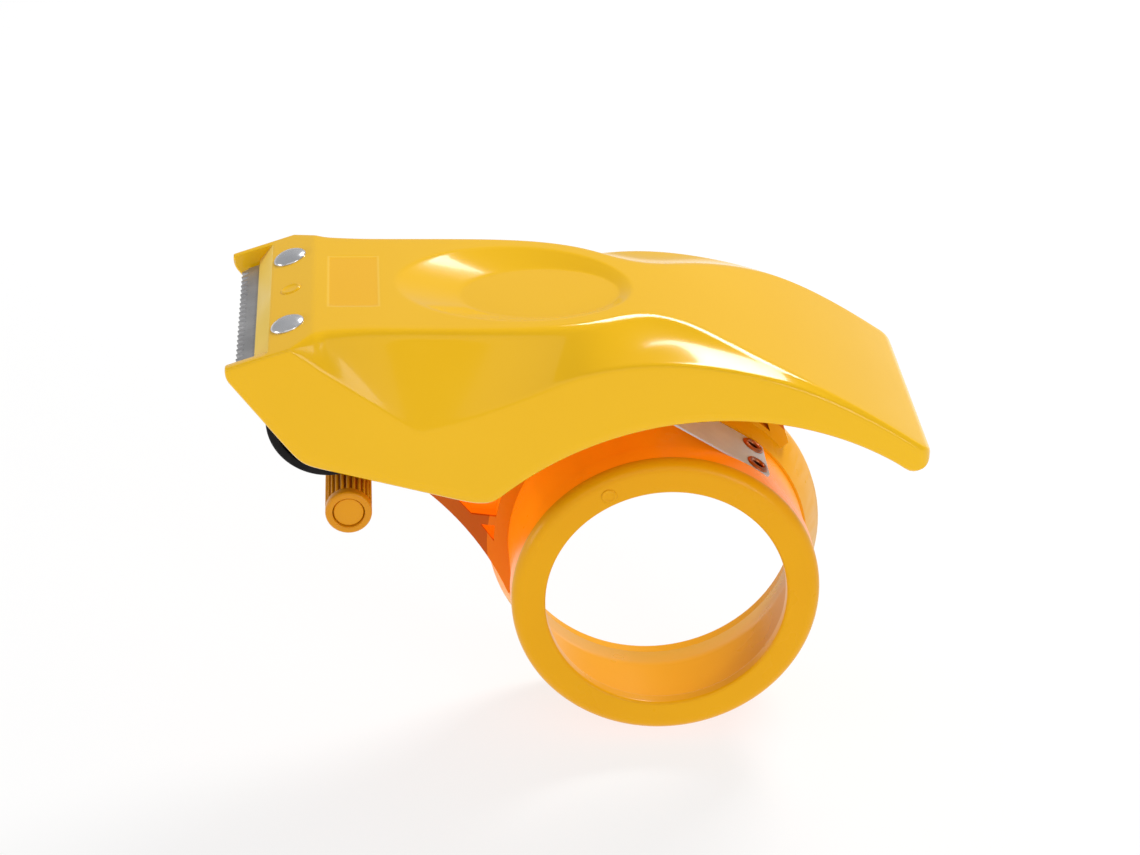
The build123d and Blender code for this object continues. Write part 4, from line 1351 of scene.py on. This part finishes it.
@dataclass
class GuidePost:
    """Ribbed sleeve that turns on a headed pin."""

    axis: Pair = (-75.9, 37.0)
    radius: float = 5.4
    near: float = -27.0
    far: float = 21.0
    collar: float = 2.5
    ribs: int = 24

    def sleeve(self) -> bpy.types.Object:
        """The sleeve's body with its smooth end collar."""
        n, f, r, groove = self.near, self.far, self.radius, self.radius - 0.42
        corners = [(3.72, n, 0.35), (r, n, 0.7), (r, n + self.collar, 0.15),
                   (groove, n + self.collar + 0.1, 0.0), (groove, f - 1.2, 0.0), (r, f - 1.1, 0.1),
                   (r, f, 0.3), (2.65, f, 0.1), (2.65, n + 2.0, 0.0), (3.72, n + 2.0, 0.0)]
        return lathe("guide_sleeve_body", rounded_profile(corners, 4), 72, self.axis)

    def rib_ring(self, repeats: Repeater, finish: bpy.types.Material) -> bpy.types.Object:
        """The sleeve's ribs."""
        n, f, r = self.near + self.collar - 0.2, self.far - 1.0, self.radius
        outline = [(r - 0.6, -0.40), (r - 0.15, -0.34), (r + 0.0, -0.16), (r + 0.0, 0.16), (r - 0.15, 0.34),
                   (r - 0.6, 0.40)]
        rib = prism("guide_sleeve_ribs", outline, Vector((0, n, 0)), Vector((1, 0, 0)), Vector((0, 0, 1)),
                    Vector((0, f - n, 0)))
        centre = (self.axis[0] * MM, 0, self.axis[1] * MM)
        return repeats.apply(rib, self.ribs, centre, (0, 2 * math.pi / self.ribs, 0), finish)

    def dress(self, finishes: Finishes, repeats: Repeater) -> None:
        """Builds the post and puts it in the frame."""
        join_frame(dress(self.sleeve(), finishes.sleeve), Body.GUIDE, "sleeve_amber", "guide_sleeve")
        join_frame(self.rib_ring(repeats, finishes.sleeve), Body.GUIDE, "sleeve_amber")
        pin = dress(rounded_copy("guide_pin", "guide_pin_headed", 0.2), finishes.pin)
        join_frame(pin, Body.BODY, "pin_amber", "guide_pin")


# ---------------------------------------------------------------- studio


@dataclass
class Studio:
    """Pale floor, soft lights and the camera."""

    camera_at: Triple = (-0.06563, -0.63388, 0.37198)
    azimuth: float = -3.85
    elevation: float = 27.34
    lens: float = 94.74
    floor_z: float = -0.0422
    floor_half: float = 4.0
    floor_tone: float = 0.22
    floor_glow: float = 0.76
    world: float = 0.45
    aim: Triple = (-0.02, 0.0, 0.03)

    def floor(self) -> None:
        """A large plain floor."""
        mesh = bpy.data.meshes.new("studio_floor")
        size, z = self.floor_half, self.floor_z
        corners = [(-size, -size, z), (size, -size, z), (size, size, z), (-size, size, z)]
        mesh.from_pydata(corners, [], [(0, 1, 2, 3)])
        floor = bpy.data.objects.new("studio_floor", mesh)
        bpy.context.scene.collection.objects.link(floor)
        paint = bpy.data.materials.new("pale_floor")
        paint.use_nodes = True
        shader = paint.node_tree.nodes["Principled BSDF"]
        shader.inputs["Base Color"].default_value = (self.floor_tone, self.floor_tone, self.floor_tone, 1)
        shader.inputs["Roughness"].default_value = 0.9
        shader.inputs["Specular IOR Level"].default_value = 0.1
        shader.inputs["Emission Color"].default_value = (1, 1, 1, 1)
        shader.inputs["Emission Strength"].default_value = self.floor_glow
        mesh.materials.append(paint)

    def light(self, name: str, at: Triple, size: Pair, power: float) -> None:
        """One soft box aimed at the object.

        Args:
            name: the light's name.
            at: its place, in metres.
            size: its width and height.
            power: its power in watts.
        """
        lamp = bpy.data.lights.new(name, "AREA")
        lamp.shape = "RECTANGLE"
        lamp.size, lamp.size_y = size
        lamp.energy = power
        box = bpy.data.objects.new(name, lamp)
        box.location = at
        aim = Vector(self.aim) - Vector(at)
        box.rotation_euler = aim.to_track_quat("-Z", "Y").to_euler()
        bpy.context.scene.collection.objects.link(box)

    def camera(self) -> None:
        """The camera."""
        lens = bpy.data.cameras.new("view")
        lens.lens = self.lens
        lens.sensor_width = 36.0
        lens.clip_start, lens.clip_end = 0.05, 20.0
        eye = bpy.data.objects.new("view", lens)
        a, e = math.radians(self.azimuth), math.radians(self.elevation)
        look = Vector((-math.sin(a) * math.cos(e), math.cos(a) * math.cos(e), -math.sin(e)))
        eye.location = self.camera_at
        eye.rotation_euler = look.to_track_quat("-Z", "Y").to_euler()
        bpy.context.scene.collection.objects.link(eye)
        bpy.context.scene.camera = eye

    def build(self) -> None:
        """Sets up the studio."""
        self.floor()
        sky = bpy.data.worlds.new("studio")
        sky.use_nodes = True
        sky.node_tree.nodes["Background"].inputs["Color"].default_value = (1, 1, 1, 1)
        sky.node_tree.nodes["Background"].inputs["Strength"].default_value = self.world
        bpy.context.scene.world = sky
        self.light("back", (0.456, 0.688, 0.871), (0.45, 0.35), 10.2)
        self.light("front", (-0.10, -1.15, 0.62), (1.6, 0.9), 3.2)
        self.light("side", (0.605, -0.852, 0.341), (0.42, 0.42), 2.2)
        self.light("low left", (-1.10, -0.10, 0.18), (0.5, 0.3), 2.4)
        self.camera()
        bpy.context.scene.view_settings.view_transform = "Standard"
        bpy.context.scene.view_settings.look = "None"


def main() -> None:
    """Builds the dispenser's pieces in order, then the studio."""
    logging.basicConfig(level=logging.INFO, format="%(name)s: %(message)s")
    finishes = Finishes()
    in_row, in_ring = Repeater(Repeat.ROW), Repeater(Repeat.RING)
    Hood().dress(finishes)
    Cutter().dress(finishes, in_row)
    TapeHub().dress(finishes)
    SideFrame().dress(finishes)
    LeafBrake().dress(finishes, in_row)
    PressRoller().dress(finishes)
    GuidePost().dress(finishes, in_ring)
    Studio().build()


if __name__ == "__main__":
    main()
